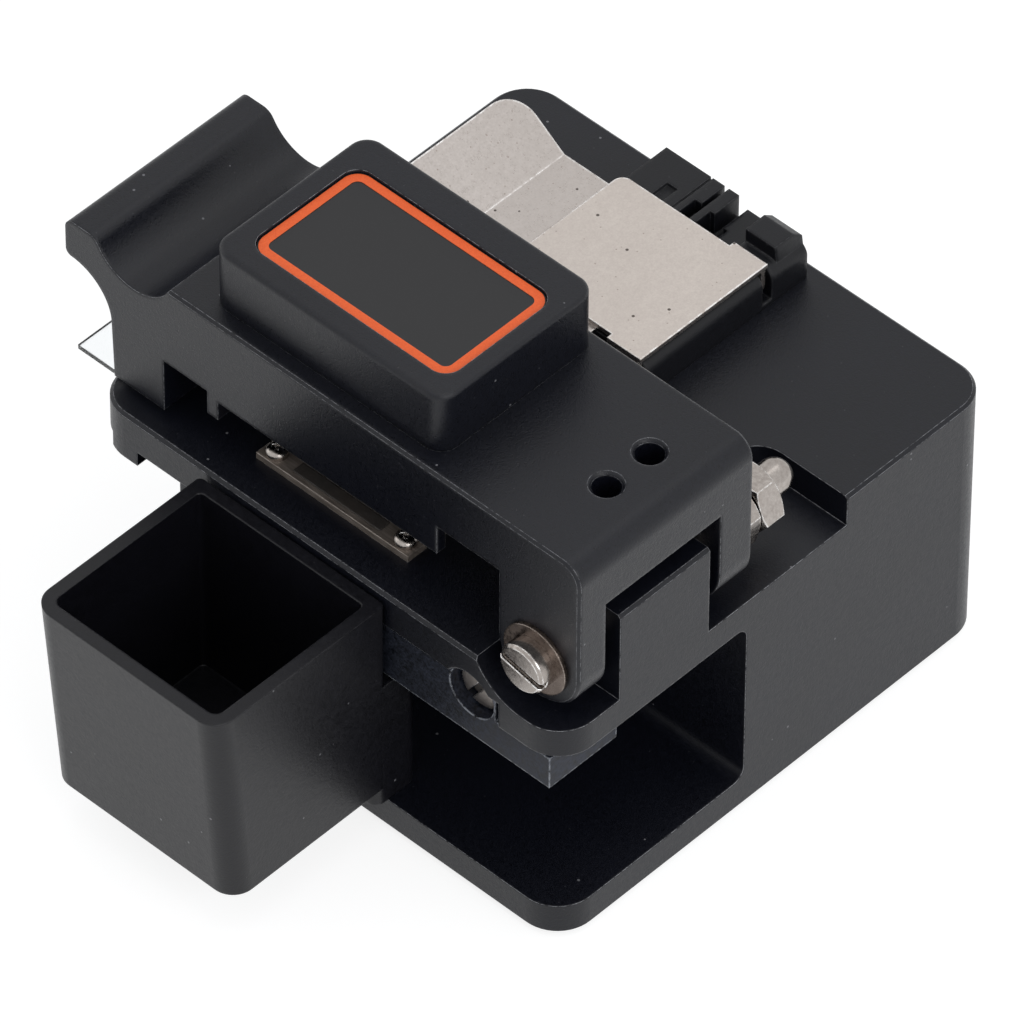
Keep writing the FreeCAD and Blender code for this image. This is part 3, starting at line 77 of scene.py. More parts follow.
def newGroup(name, inputs, outputs):
    group = bpy.data.node_groups.new(name, "ShaderNodeTree")
    for label, kind, value in inputs:
        socket = group.interface.new_socket(label, in_out="INPUT", socket_type=kind)
        if value is not None:
            socket.default_value = value
    for label, kind in outputs:
        group.interface.new_socket(label, in_out="OUTPUT", socket_type=kind)
    start = group.nodes.new("NodeGroupInput")
    end = group.nodes.new("NodeGroupOutput")
    return group, start, end


def mathNode(tree, operation, first, second=None, clamp=False):
    node = tree.nodes.new("ShaderNodeMath")
    node.operation = operation
    node.use_clamp = clamp
    for i, value in enumerate((first, second)):
        if value is None:
            continue
        if isinstance(value, (int, float)):
            node.inputs[i].default_value = value
        else:
            tree.links.new(value, node.inputs[i])
    return node.outputs[0]


def noiseNode(tree, vector, scale, detail=2.0, roughness=0.5):
    node = tree.nodes.new("ShaderNodeTexNoise")
    node.inputs["Detail"].default_value = detail
    node.inputs["Roughness"].default_value = roughness
    tree.links.new(vector, node.inputs["Vector"])
    if isinstance(scale, (int, float)):
        node.inputs["Scale"].default_value = scale
    else:
        tree.links.new(scale, node.inputs["Scale"])
    return node.outputs["Fac"]


def rampNode(tree, value, low, high, toLow=0.0, toHigh=1.0):
    node = tree.nodes.new("ShaderNodeMapRange")
    node.inputs["From Min"].default_value = low
    node.inputs["From Max"].default_value = high
    node.inputs["To Min"].default_value = toLow
    node.inputs["To Max"].default_value = toHigh
    tree.links.new(value, node.inputs["Value"])
    return node.outputs["Result"]


def stretchNode(tree, vector, stretch):
    node = tree.nodes.new("ShaderNodeMapping")
    node.inputs["Scale"].default_value = stretch
    tree.links.new(vector, node.inputs["Vector"])
    return node.outputs["Vector"]


def bumpNode(tree, height, look):
    node = tree.nodes.new("ShaderNodeBump")
    node.inputs["Strength"].default_value = look["bump"]
    node.inputs["Distance"].default_value = look["bumpDepth"]
    tree.links.new(height, node.inputs["Height"])
    return node


def emptyTree(owner):
    # node tree of a new material or world, with nothing in it yet
    owner.use_nodes = True
    owner.node_tree.nodes.clear()
    return owner.node_tree


def buildEdgeGroup():
    # softened normal at hard edges, and a thin broken line along them that is partly wear and partly
    # painted highlight
    size = {"samples": 6, "bend": (0.992, 0.93), "patch": (0.38, 0.56), "detail": 4.0, "roughness": 0.65}
    group, start, end = newGroup("edgeWearAndPaintedHighlight", [
        ("Vector", "NodeSocketVector", None),
        ("Soft Radius", "NodeSocketFloat", 0.0002),
        ("Wear Radius", "NodeSocketFloat", 0.00009),
        ("Patch Scale", "NodeSocketFloat", 1500.0),
    ], [("Mask", "NodeSocketFloat"), ("Normal", "NodeSocketVector")])
    bevels = {}
    for use in ("Soft Radius", "Wear Radius"):
        bevels[use] = group.nodes.new("ShaderNodeBevel")
        bevels[use].samples = size["samples"]
        group.links.new(start.outputs[use], bevels[use].inputs["Radius"])
    flat = group.nodes.new("ShaderNodeNewGeometry")
    dot = group.nodes.new("ShaderNodeVectorMath")
    dot.operation = "DOT_PRODUCT"
    group.links.new(bevels["Wear Radius"].outputs["Normal"], dot.inputs[0])
    group.links.new(flat.outputs["Normal"], dot.inputs[1])
    edge = rampNode(group, dot.outputs["Value"], *size["bend"])
    patch = noiseNode(group, start.outputs["Vector"], start.outputs["Patch Scale"], size["detail"],
                      size["roughness"])
    mask = mathNode(group, "MULTIPLY", edge, rampNode(group, patch, *size["patch"]), True)
    group.links.new(mask, end.inputs["Mask"])
    group.links.new(bevels["Soft Radius"].outputs["Normal"], end.inputs["Normal"])
    return group


def buildGrainGroup():
    # blasted or moulded skin: fine grain, slow cloudiness
    size = {
        "fine": (2.0, 0.6), "coarse": (2.0, 0.55), "slow": (4.0, 0.55),  # noise detail and roughness
        "coarser": 0.38, "fineShare": 0.6, "coarseShare": 0.4, "tone": (0.34, 0.66), "cloud": (0.35, 0.65),
    }
    group, start, end = newGroup("blastGrain", [
        ("Vector", "NodeSocketVector", None),
        ("Grain", "NodeSocketFloat", 5200.0),
        ("Cloud", "NodeSocketFloat", 90.0),
    ], [("Height", "NodeSocketFloat"), ("Tone", "NodeSocketFloat"), ("Cloud", "NodeSocketFloat")])
    place = start.outputs["Vector"]
    fine = noiseNode(group, place, start.outputs["Grain"], *size["fine"])
    wider = mathNode(group, "MULTIPLY", start.outputs["Grain"], size["coarser"])
    coarse = noiseNode(group, place, wider, *size["coarse"])
    height = mathNode(group, "ADD", mathNode(group, "MULTIPLY", fine, size["fineShare"]),
                      mathNode(group, "MULTIPLY", coarse, size["coarseShare"]))
    cloud = noiseNode(group, place, start.outputs["Cloud"], *size["slow"])
    group.links.new(height, end.inputs["Height"])
    group.links.new(rampNode(group, height, *size["tone"]), end.inputs["Tone"])
    group.links.new(rampNode(group, cloud, *size["cloud"]), end.inputs["Cloud"])
    return group


def buildSpeckGroup():
    # sparse tiny dots: dust on black parts, pits in plating
    group, start, end = newGroup("specks", [
        ("Vector", "NodeSocketVector", None),
        ("Cells", "NodeSocketFloat", 900.0),
        ("Share", "NodeSocketFloat", 0.1),
        ("Size", "NodeSocketFloat", 0.12),
    ], [("Mask", "NodeSocketFloat")])
    cells = group.nodes.new("ShaderNodeTexVoronoi")
    cells.feature = "F1"
    group.links.new(start.outputs["Vector"], cells.inputs["Vector"])
    group.links.new(start.outputs["Cells"], cells.inputs["Scale"])
    near = mathNode(group, "LESS_THAN", cells.outputs["Distance"], start.outputs["Size"])
    split = group.nodes.new("ShaderNodeSeparateColor")
    group.links.new(cells.outputs["Color"], split.inputs["Color"])
    chosen = mathNode(group, "LESS_THAN", split.outputs["Red"], start.outputs["Share"])
    group.links.new(mathNode(group, "MULTIPLY", near, chosen), end.inputs["Mask"])
    return group


def buildLineGroup():
    # drawn or ground lines: noise stretched by the vector's own scale
    size = {"detail": 3.0, "roughness": 0.6, "tone": (0.35, 0.65)}
    group, start, end = newGroup("drawnLines", [
        ("Vector", "NodeSocketVector", None),
        ("Scale", "NodeSocketFloat", 4000.0),
    ], [("Height", "NodeSocketFloat"), ("Tone", "NodeSocketFloat")])
    line = noiseNode(group, start.outputs["Vector"], start.outputs["Scale"], size["detail"],
                     size["roughness"])
    group.links.new(line, end.inputs["Height"])
    group.links.new(rampNode(group, line, *size["tone"]), end.inputs["Tone"])
    return group


groups = {
    "edge": buildEdgeGroup(),
    "grain": buildGrainGroup(),
    "specks": buildSpeckGroup(),
    "lines": buildLineGroup(),
}
print("shader groups built")


def placeGroup(tree, kind, vector, **values):
    node = tree.nodes.new("ShaderNodeGroup")
    node.node_tree = groups[kind]
    tree.links.new(vector, node.inputs["Vector"])
    for label, value in values.items():
        node.inputs[label.replace("_", " ")].default_value = value
    return node


def mixColour(tree, share, first, second):
    # a Mix node's colours are its inputs 6 and 7, its colour result is output 2
    node = tree.nodes.new("ShaderNodeMix")
    node.data_type = "RGBA"
    for socket, value in ((node.inputs[6], first), (node.inputs[7], second)):
        if isinstance(value, tuple):
            socket.default_value = value
        else:
            tree.links.new(value, socket)
    if isinstance(share, (int, float)):
        node.inputs[0].default_value = share
    else:
        tree.links.new(share, node.inputs[0])
    return node.outputs[2]


# what a finish has unless its own entry says otherwise
plainLook = {
    "cloud": 90.0, "cloudShare": 0.25, "wearAndHighlight": 0.4, "edgeRadius": 0.00022, "wearAndHighlightRadius": 0.0001,
    "polish": 0.5,  # share of its roughness lost along the edge lines of wear and painted highlight
    "metallic": 0.0, "specular": 0.5, "bump": 0.2, "bumpDepth": 0.00004, "specks": [],
}


def makeSurface(name, ownLook):
    # one finish: two tones by grain, cloudiness, edge lines of wear and painted highlight, specks, bump
    look = {**plainLook, **ownLook}
    mat = bpy.data.materials.new(name)
    tree = emptyTree(mat)
    out = tree.nodes.new("ShaderNodeOutputMaterial")
    shader = tree.nodes.new("ShaderNodeBsdfPrincipled")
    tree.links.new(shader.outputs["BSDF"], out.inputs["Surface"])
    place = tree.nodes.new("ShaderNodeTexCoord").outputs["Object"]
    cloudFrom = placeGroup(tree, "grain", place, Grain=look["grain"], Cloud=look["cloud"])
    grain = cloudFrom
    if "stretch" in look:
        drawn = stretchNode(tree, place, look["stretch"])
        grain = placeGroup(tree, "lines", drawn, Scale=look["grain"])
    edge = placeGroup(tree, "edge", place, Soft_Radius=look["edgeRadius"], Wear_Radius=look["wearAndHighlightRadius"])
    colour = mixColour(tree, grain.outputs["Tone"], look["dark"], look["light"])
    cloudShare = mathNode(tree, "MULTIPLY", cloudFrom.outputs["Cloud"], look["cloudShare"])
    colour = mixColour(tree, cloudShare, colour, look.get("cloudColour", look["dark"]))
    # the worn colour laid along edges: partly real wear, partly painted highlight where edges catch the
    # light
    wearAndHighlightShare = mathNode(tree, "MULTIPLY", edge.outputs["Mask"], look["wearAndHighlight"])
    colour = mixColour(tree, wearAndHighlightShare, colour, look["wornAndHighlight"])
    for speck in look["specks"]:
        dots = placeGroup(tree, "specks", place, Cells=speck["cells"], Share=speck["share"],
                          Size=speck["size"])
        dotShare = mathNode(tree, "MULTIPLY", dots.outputs["Mask"], speck["strength"])
        colour = mixColour(tree, dotShare, colour, speck["colour"])
    tree.links.new(colour, shader.inputs["Base Color"])
    smooth, coarse = look["rough"]
    rough = rampNode(tree, grain.outputs["Tone"], 0.0, 1.0, smooth, coarse)
    wornAndHighlightRough = mathNode(tree, "MULTIPLY", wearAndHighlightShare, -look["polish"] * smooth)
    tree.links.new(mathNode(tree, "ADD", rough, wornAndHighlightRough, True), shader.inputs["Roughness"])
    shader.inputs["Metallic"].default_value = look["metallic"]
    shader.inputs["Specular IOR Level"].default_value = look["specular"]
    bump = bumpNode(tree, grain.outputs["Height"], look)
    tree.links.new(edge.outputs["Normal"], bump.inputs["Normal"])
    tree.links.new(bump.outputs["Normal"], shader.inputs["Normal"])
    return mat


# cells per metre, share of the cells that hold a dot, dot radius in cells, strength and colour
dust = {"cells": 460.0, "share": 0.24, "size": 0.065, "strength": 0.6, "colour": srgb(132, 132, 136)}
fineDust = {"cells": 1500.0, "share": 0.05, "size": 0.13, "strength": 0.25, "colour": srgb(84, 84, 88)}
pits = {"cells": 1100.0, "share": 0.11, "size": 0.13, "strength": 0.6, "colour": srgb(112, 102, 96)}
deepPits = {"cells": 620.0, "share": 0.20, "size": 0.11, "strength": 0.85, "colour": srgb(60, 52, 48)}
finePits = {"cells": 1700.0, "share": 0.16, "size": 0.15, "strength": 0.55, "colour": srgb(134, 118, 108)}

# each look's worn colour is laid along its edges: partly real wear, partly painted highlight
looks = {
    "blackAnodised": {
        "dark": srgb(7, 8, 14), "light": srgb(14, 16, 25), "wornAndHighlight": srgb(176, 177, 182),
        "cloudColour": srgb(17, 19, 28), "cloudShare": 0.35, "wearAndHighlight": 0.9,
        "grain": 4800.0, "edgeRadius": 0.0003,
        "rough": (0.32, 0.46), "specular": 0.34, "bump": 0.9, "specks": [dust, fineDust],
    },
    "leverAnodised": {
        "dark": srgb(7, 8, 14), "light": srgb(15, 17, 26), "wornAndHighlight": srgb(176, 177, 182),
        "cloudColour": srgb(18, 20, 29), "cloudShare": 0.35, "wearAndHighlight": 0.8,
        "grain": 6200.0, "edgeRadius": 0.0006,
        "rough": (0.26, 0.42), "specular": 0.34, "bump": 1.0, "bumpDepth": 0.00005,
        "specks": [dust, fineDust],
    },
    "holderAnodised": {
        "dark": srgb(7, 8, 12), "light": srgb(14, 15, 21), "wornAndHighlight": srgb(120, 121, 126),
        "cloudColour": srgb(17, 18, 24), "cloudShare": 0.35, "wearAndHighlight": 0.35,
        "grain": 4600.0, "edgeRadius": 0.0006,
        "rough": (0.36, 0.5), "specular": 0.3, "bump": 0.9, "specks": [fineDust],
    },
    "labelField": {
        "dark": srgb(24, 24, 26), "light": srgb(31, 31, 33), "wornAndHighlight": srgb(90, 90, 92),
        "cloudShare": 0.15, "wearAndHighlight": 0.2, "grain": 6500.0,
        "rough": (0.42, 0.5), "specular": 0.4, "bump": 0.15,
    },
    "ringOrange": {
        "dark": srgb(224, 88, 34), "light": srgb(240, 104, 46), "wornAndHighlight": srgb(250, 160, 110),
        "cloudShare": 0.15, "wearAndHighlight": 0.2, "grain": 6500.0, "edgeRadius": 0.00005,
        "rough": (0.4, 0.5), "specular": 0.4, "bump": 0.12,
    },
    # near-white edge colour: painted highlight along the plate's edges
    "satinNickel": {
        "dark": srgb(192, 183, 177), "light": srgb(205, 197, 190), "wornAndHighlight": srgb(252, 251, 250),
        "cloudColour": srgb(184, 175, 169), "cloudShare": 0.3, "wearAndHighlight": 1.0, "wearAndHighlightRadius": 0.00035,
        "grain": 5200.0, "cloud": 60.0,
        "rough": (0.30, 0.40), "metallic": 1.0, "bump": 0.16, "specks": [finePits, deepPits],
    },
    # darker copy of the lid's satin nickel, painted shade on the bent leaf; near-white edge colour is
    # painted highlight along its fold and edges
    "shadedLeafNickel": {
        "dark": srgb(183, 176, 171), "light": srgb(197, 190, 186), "wornAndHighlight": srgb(253, 252, 251),
        "cloudColour": srgb(173, 166, 161), "cloudShare": 0.35, "wearAndHighlight": 1.0, "wearAndHighlightRadius": 0.0004,
        "grain": 4600.0, "cloud": 70.0,
        "rough": (0.26, 0.38), "metallic": 1.0, "bump": 0.16, "specks": [finePits, deepPits],
    },
    # near-white edge colour: painted highlight on the nut and screw edges
    "brightNickel": {
        "dark": srgb(156, 149, 144), "light": srgb(180, 174, 169), "wornAndHighlight": srgb(253, 252, 251),
        "cloudColour": srgb(134, 125, 118), "cloudShare": 0.3, "wearAndHighlight": 1.0, "wearAndHighlightRadius": 0.00022,
        "grain": 2600.0, "cloud": 200.0,
        "rough": (0.12, 0.24), "metallic": 1.0, "bump": 0.12, "specks": [pits],
    },
    "stainedWasher": {
        "dark": srgb(98, 86, 80), "light": srgb(132, 120, 112), "wornAndHighlight": srgb(214, 206, 198),
        "cloudColour": srgb(74, 64, 58), "cloudShare": 0.5, "wearAndHighlight": 0.5,
        "grain": 2600.0, "cloud": 320.0,
        "rough": (0.22, 0.38), "metallic": 1.0, "bump": 0.2, "specks": [pits],
    },
    "screwSteel": {
        "dark": srgb(150, 144, 140), "light": srgb(188, 182, 178), "wornAndHighlight": srgb(236, 235, 234),
        "cloudShare": 0.2, "wearAndHighlight": 0.5, "grain": 3200.0, "stretch": (1.0, 0.12, 1.0),
        "rough": (0.26, 0.4), "metallic": 1.0, "bump": 0.2,
    },
    "bronzedSteel": {
        "dark": srgb(132, 122, 114), "light": srgb(164, 153, 144), "wornAndHighlight": srgb(206, 198, 190),
        "cloudColour": srgb(92, 82, 75), "cloudShare": 0.4, "wearAndHighlight": 0.6,
        "grain": 3600.0, "stretch": (1.0, 0.1, 1.0),
        "rough": (0.34, 0.5), "metallic": 0.6, "bump": 0.22, "specks": [pits],
    },
    "blastedGrey": {
        "dark": srgb(6, 8, 13), "light": srgb(50, 54, 66), "wornAndHighlight": srgb(168, 172, 180),
        "cloudColour": srgb(12, 14, 20), "cloudShare": 0.45, "wearAndHighlight": 1.0,
        "wearAndHighlightRadius": 0.0003, "grain": 3000.0,
        "rough": (0.40, 0.54), "specular": 0.2, "bump": 0.7, "bumpDepth": 0.00006, "specks": [fineDust],
    },
    "groundCarbide": {
        "dark": srgb(128, 129, 132), "light": srgb(168, 169, 172), "wornAndHighlight": srgb(235, 235, 238),
        "cloudShare": 0.2, "wearAndHighlight": 0.4, "grain": 2600.0, "stretch": (1.0, 1.0, 0.12),
        "rough": (0.18, 0.3), "metallic": 1.0, "bump": 0.15,
    },
    "turnedBrass": {
        "dark": srgb(170, 132, 74), "light": srgb(202, 166, 104), "wornAndHighlight": srgb(236, 210, 160),
        "cloudShare": 0.2, "wearAndHighlight": 0.4, "grain": 3000.0,
        "rough": (0.22, 0.36), "metallic": 1.0, "bump": 0.15,
    },
    "blackRubber": {
        "dark": srgb(18, 18, 19), "light": srgb(28, 28, 29), "wornAndHighlight": srgb(50, 50, 51),
        "cloudShare": 0.2, "wearAndHighlight": 0.3, "grain": 2400.0,
        "rough": (0.72, 0.88), "specular": 0.3, "bump": 0.5, "bumpDepth": 0.00008, "specks": [dust],
    },
    "insertRubber": {
        "dark": srgb(42, 39, 38), "light": srgb(58, 55, 53), "wornAndHighlight": srgb(96, 92, 88),
        "cloudColour": srgb(66, 58, 52), "cloudShare": 0.4, "wearAndHighlight": 0.3,
        "grain": 2400.0, "cloud": 240.0,
        "rough": (0.5, 0.66), "specular": 0.4, "bump": 0.4, "bumpDepth": 0.00006,
    },
    "binPlastic": {
        "dark": srgb(8, 8, 12), "light": srgb(16, 16, 22), "wornAndHighlight": srgb(90, 90, 94),
        "cloudColour": srgb(20, 20, 26), "cloudShare": 0.35, "wearAndHighlight": 0.3,
        "grain": 3800.0, "edgeRadius": 0.0003,
        "rough": (0.32, 0.42), "specular": 0.33, "bump": 0.7, "specks": [dust, fineDust],
    },
}
surfaces = {name: makeSurface(name, look) for name, look in looks.items()}


def makeClearSheet():
    # clear plastic with a faint haze, fine scratches and frosted edges
    look = {
        "tint": (0.93, 0.95, 0.96, 1.0), "edgeTint": (0.6, 0.61, 0.62, 1.0), "edgeWidth": 0.00025,
        "rough": (0.03, 0.16), "frost": 0.5, "ior": 1.46,
        "scratch": 900.0, "stretch": (1.0, 0.15, 1.0), "bump": 0.1, "bumpDepth": 0.00003,
    }
    mat = bpy.data.materials.new("clearSheet")
    mat.use_nodes = True
    tree = mat.node_tree
    shader = tree.nodes["Principled BSDF"]
    place = tree.nodes.new("ShaderNodeTexCoord").outputs["Object"]
    drawn = stretchNode(tree, place, look["stretch"])
    lines = placeGroup(tree, "lines", drawn, Scale=look["scratch"])
    edge = placeGroup(tree, "edge", place, Wear_Radius=look["edgeWidth"])
    rough = rampNode(tree, lines.outputs["Tone"], 0.0, 1.0, *look["rough"])
    frosted = mathNode(tree, "MULTIPLY", edge.outputs["Mask"], look["frost"])
    tree.links.new(mathNode(tree, "ADD", rough, frosted, True), shader.inputs["Roughness"])
    colour = mixColour(tree, edge.outputs["Mask"], look["tint"], look["edgeTint"])
    tree.links.new(colour, shader.inputs["Base Color"])
    shader.inputs["Transmission Weight"].default_value = 1.0
    shader.inputs["IOR"].default_value = look["ior"]
    bump = bumpNode(tree, lines.outputs["Height"], look)
    tree.links.new(bump.outputs["Normal"], shader.inputs["Normal"])
    return mat


surfaces["clearSheet"] = makeClearSheet()
print("materials built:", len(surfaces))

dressing = {
    "blackAnodised": ["base_block", "push_plate"],
    "leverAnodised": ["lever_arm", "pad_cover"],
    "holderAnodised": ["holder_base"],
    "labelField": ["label_plate"],
    "satinNickel": ["lid_plate", "axle_screw"],
    "shadedLeafNickel": ["press_leaf"],
    "brightNickel": ["pivot_screw", "pivot_nuts", "axle_nut"],
    "stainedWasher": ["pivot_washer"],
    "screwSteel": ["rail_screws", "rail_stops", "guide_rail", "guide_block", "carriage_screws",
                   "cover_screws", "anvil", "anvil_screw", "clamp_stems", "clamp_springs",
                   "holder_screws", "holder_magnet", "holder_pin", "plate_screws"],
    "bronzedSteel": ["scrap_rest_plate", "lower_clamp_plate_right", "lower_clamp_plate_left"],
    "blastedGrey": ["blade_carriage", "upper_clamp_block"],
    "groundCarbide": ["blade_wheel"],
    "turnedBrass": ["blade_hub"],
    "blackRubber": ["rubber_sole", "upper_pad_right", "upper_pad_left"],
    "insertRubber": ["scrap_rest_strip", "lower_clamp_strip_right", "lower_clamp_strip_left"],
    "binPlastic": ["scrap_bin"],
    "clearSheet": ["clear_film"],
}
for finish, names in dressing.items():
    for name in names:
        mesh = nodes[name].data
        mesh.materials.clear()
        mesh.materials.append(surfaces[finish])
print("frame dressed")


def centre(node):
    low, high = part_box(node)
    return (Vector(low) + Vector(high)) / 2


def linked(name, data):
    piece = bpy.data.objects.new(name, data)
    bpy.context.scene.collection.objects.link(piece)
    return piece


def meshPiece(name, points, faces, finish):
    mesh = bpy.data.meshes.new(name)
    mesh.from_pydata([tuple(p) for p in points], [], faces)
    mesh.materials.append(surfaces[finish])
    return linked(name, mesh)


def tidyNormals(piece):
    mergeWithin = 1e-7
    work = bmesh.new()
    work.from_mesh(piece.data)
    bmesh.ops.remove_doubles(work, verts=work.verts, dist=mergeWithin)
    bmesh.ops.recalc_face_normals(work, faces=work.faces)
    work.to_mesh(piece.data)
    work.free()


def plainMesh(piece):
    # the mesh with its modifiers worked in
    graph = bpy.context.evaluated_depsgraph_get()
    return bpy.data.meshes.new_from_object(piece.evaluated_get(graph))


def carve(piece, tool, operation):
    # cuts a piece with a tool, or keeps what both share; the tool is used up
    cut = piece.modifiers.new("cut", "BOOLEAN")
    cut.object = tool
    cut.operation = operation
    cut.solver = "EXACT"
    result = plainMesh(piece)
    piece.modifiers.remove(cut)
    piece.data = result
    bpy.data.objects.remove(tool)


def prism(name, outline, low, high, finish):
    # upright prism over an outline that runs anticlockwise
    count = len(outline)
    points = [(x, y, z) for z in (low, high) for x, y in outline]
    faces = [tuple(reversed(range(count))), tuple(range(count, 2 * count))]
    for i in range(count):
        j = (i + 1) % count
        faces.append((i, j, count + j, count + i))
    return meshPiece(name, points, faces, finish)


def roundedLoop(middle, width, length, radius, z, steps):
    points = []
    for corner in range(4):
        sideX = 1 if corner in (0, 3) else -1
        sideY = 1 if corner in (0, 1) else -1
        cx = middle.x + sideX * (width / 2 - radius)
        cy = middle.y + sideY * (length / 2 - radius)
        for i in range(steps + 1):
            angle = math.pi / 2 * (corner + i / steps)
            points.append(Vector((cx + radius * math.cos(angle), cy + radius * math.sin(angle), z)))
    return points


def printedRing():
    # orange band printed round the bare label field
    size = {"edge": 0.15 * mm, "band": 1.05 * mm, "radius": 1.9 * mm, "leastRadius": 0.3 * mm,
            "lift": 0.005 * mm, "proud": 0.06 * mm, "steps": 10}
    low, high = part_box("label_plate")
    middle = centre("label_plate")
    width = high[0] - low[0] - 2 * size["edge"]
    length = high[1] - low[1] - 2 * size["edge"]
    innerWidth = width - 2 * size["band"]
    innerLength = length - 2 * size["band"]
    innerRadius = max(size["radius"] - size["band"], size["leastRadius"])
    base = high[2] + size["lift"]
    points = []
    for z in (base, base + size["proud"]):
        points += roundedLoop(middle, width, length, size["radius"], z, size["steps"])
        points += roundedLoop(middle, innerWidth, innerLength, innerRadius, z, size["steps"])
    count = len(points) // 4
    outLow, inLow, outTop, inTop = 0, count, 2 * count, 3 * count
    faces = []
    for i in range(count):
        j = (i + 1) % count
        for a, b in ((outTop, inTop), (inLow, outLow), (outLow, outTop), (inTop, inLow)):
            faces.append((a + i, a + j, b + j, b + i))
    ring = meshPiece("label_ring", points, faces, "ringOrange")
    tidyNormals(ring)
    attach(ring, "lever")


def revolved(name, profile, segments, finish):
    # profile of (radius, height), closed at both ends on the axis
    points = []
    faces = []
    for radius, height in profile:
        for i in range(segments):
            angle = 2 * math.pi * i / segments
            points.append((radius * math.cos(angle), radius * math.sin(angle), height))
    for ring in range(len(profile) - 1):
        for i in range(segments):
            j = (i + 1) % segments
            a = ring * segments
            b = a + segments
            faces.append((a + i, a + j, b + j, b + i))
    points.append((0, 0, profile[0][1]))
    points.append((0, 0, profile[-1][1]))
    last = (len(profile) - 1) * segments
    for i in range(segments):
        j = (i + 1) % segments
        faces.append((len(points) - 2, j, i))
        faces.append((len(points) - 1, last + i, last + j))
    piece = meshPiece(name, points, faces, finish)
    tidyNormals(piece)
    return piece


def screwTemplate(size):
    # domed head with a cross recess, and its shank
    head = size["headRadius"]
    rise = size["headHeight"]
    rim = rise * size["rimShare"]
    flat = head * size["crownFlat"]
    shank = size["shankRadius"]
    profile = [(shank, -size["shankLength"]), (shank, 0.0), (head, 0.0), (head, rim)]
    for i in range(1, size["domeSteps"]):
        angle = math.pi / 2 * i / size["domeSteps"]
        profile.append(((head - flat) * math.cos(angle) + flat, rim + (rise - rim) * math.sin(angle)))
    screw = revolved("screwTemplate", profile, size["segments"], "brightNickel")
    along = size["recessLength"] / 2
    across = size["recessWidth"] / 2
    for x, y in ((along, across), (across, along)):
        outline = [(-x, -y), (x, -y), (x, y), (-x, y)]
        slot = prism("recessCutter", outline, rise - size["recessDepth"], rise + mm, "screwSteel")
        carve(screw, slot, "DIFFERENCE")
    return screw


def screwScatter():
    # one copy of the template on every point, turned at random about its own axis
    halfTurn = 3.14159
    inputs = [
        ("Geometry", "NodeSocketGeometry"),
        ("Screw", "NodeSocketObject"),
        ("Scale", "NodeSocketFloat"),
        ("Seed", "NodeSocketInt"),
        ("Finish", "NodeSocketMaterial"),
    ]
    tree = bpy.data.node_groups.new("screwScatter", "GeometryNodeTree")
    ids = {}
    for label, kind in inputs:
        ids[label] = tree.interface.new_socket(label, in_out="INPUT", socket_type=kind).identifier
    tree.interface.new_socket("Geometry", in_out="OUTPUT", socket_type="NodeSocketGeometry")
    start = tree.nodes.new("NodeGroupInput")
    end = tree.nodes.new("NodeGroupOutput")
    info = tree.nodes.new("GeometryNodeObjectInfo")
    scatter = tree.nodes.new("GeometryNodeInstanceOnPoints")
    turn = tree.nodes.new("FunctionNodeRandomValue")
    turn.data_type = "FLOAT_VECTOR"
    turn.inputs[0].default_value = (0.0, 0.0, 0.0)
    turn.inputs[1].default_value = (0.0, 0.0, halfTurn)
    scale = tree.nodes.new("ShaderNodeCombineXYZ")
    realize = tree.nodes.new("GeometryNodeRealizeInstances")
    finish = tree.nodes.new("GeometryNodeSetMaterial")
    link = tree.links.new
    link(start.outputs["Geometry"], scatter.inputs["Points"])
    link(start.outputs["Screw"], info.inputs["Object"])
    link(info.outputs["Geometry"], scatter.inputs["Instance"])
    link(start.outputs["Seed"], turn.inputs["Seed"])
    link(turn.outputs[0], scatter.inputs["Rotation"])
    for axis in range(3):
        link(start.outputs["Scale"], scale.inputs[axis])
    link(scale.outputs[0], scatter.inputs["Scale"])
    link(scatter.outputs["Instances"], realize.inputs["Geometry"])
    link(realize.outputs["Geometry"], finish.inputs["Geometry"])
    link(start.outputs["Finish"], finish.inputs["Material"])
    link(finish.outputs["Geometry"], end.inputs["Geometry"])
    return tree, ids


def plateScrews():
    # one at each end of the scrap rest and of both lower clamp plates
    size = {
        "headRadius": 1.25 * mm, "headHeight": 1.1 * mm, "rimShare": 0.35, "crownFlat": 0.02,
        "shankRadius": 0.55 * mm, "shankLength": 3.0 * mm, "domeSteps": 7, "segments": 36,
        "recessLength": 1.15 * mm, "recessWidth": 0.3 * mm, "recessDepth": 0.42 * mm,
        "inset": 1.6 * mm, "scale": 1.0, "seed": 7,
    }
    seats = []
    for plate in ("scrap_rest_plate", "lower_clamp_plate_right", "lower_clamp_plate_left"):
        low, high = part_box(plate)
        x = (low[0] + high[0]) / 2
        seats.append((x, low[1] + size["inset"], high[2]))
        seats.append((x, high[1] - size["inset"], high[2]))
    template = screwTemplate(size)
    holder = meshPiece("screwSeats", seats, [], "screwSteel")
    tree, ids = screwScatter()
    scatter = holder.modifiers.new("screws", "NODES")
    scatter.node_group = tree
    scatter[ids["Screw"]] = template
    scatter[ids["Scale"]] = size["scale"]
    scatter[ids["Seed"]] = size["seed"]
    scatter[ids["Finish"]] = surfaces["brightNickel"]
    screws = linked("plate_screw_heads", plainMesh(holder))
    bpy.data.objects.remove(holder)
    bpy.data.objects.remove(template)
    for face in screws.data.polygons:
        face.use_smooth = False
    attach(screws, "base")
    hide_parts("plate_screws")


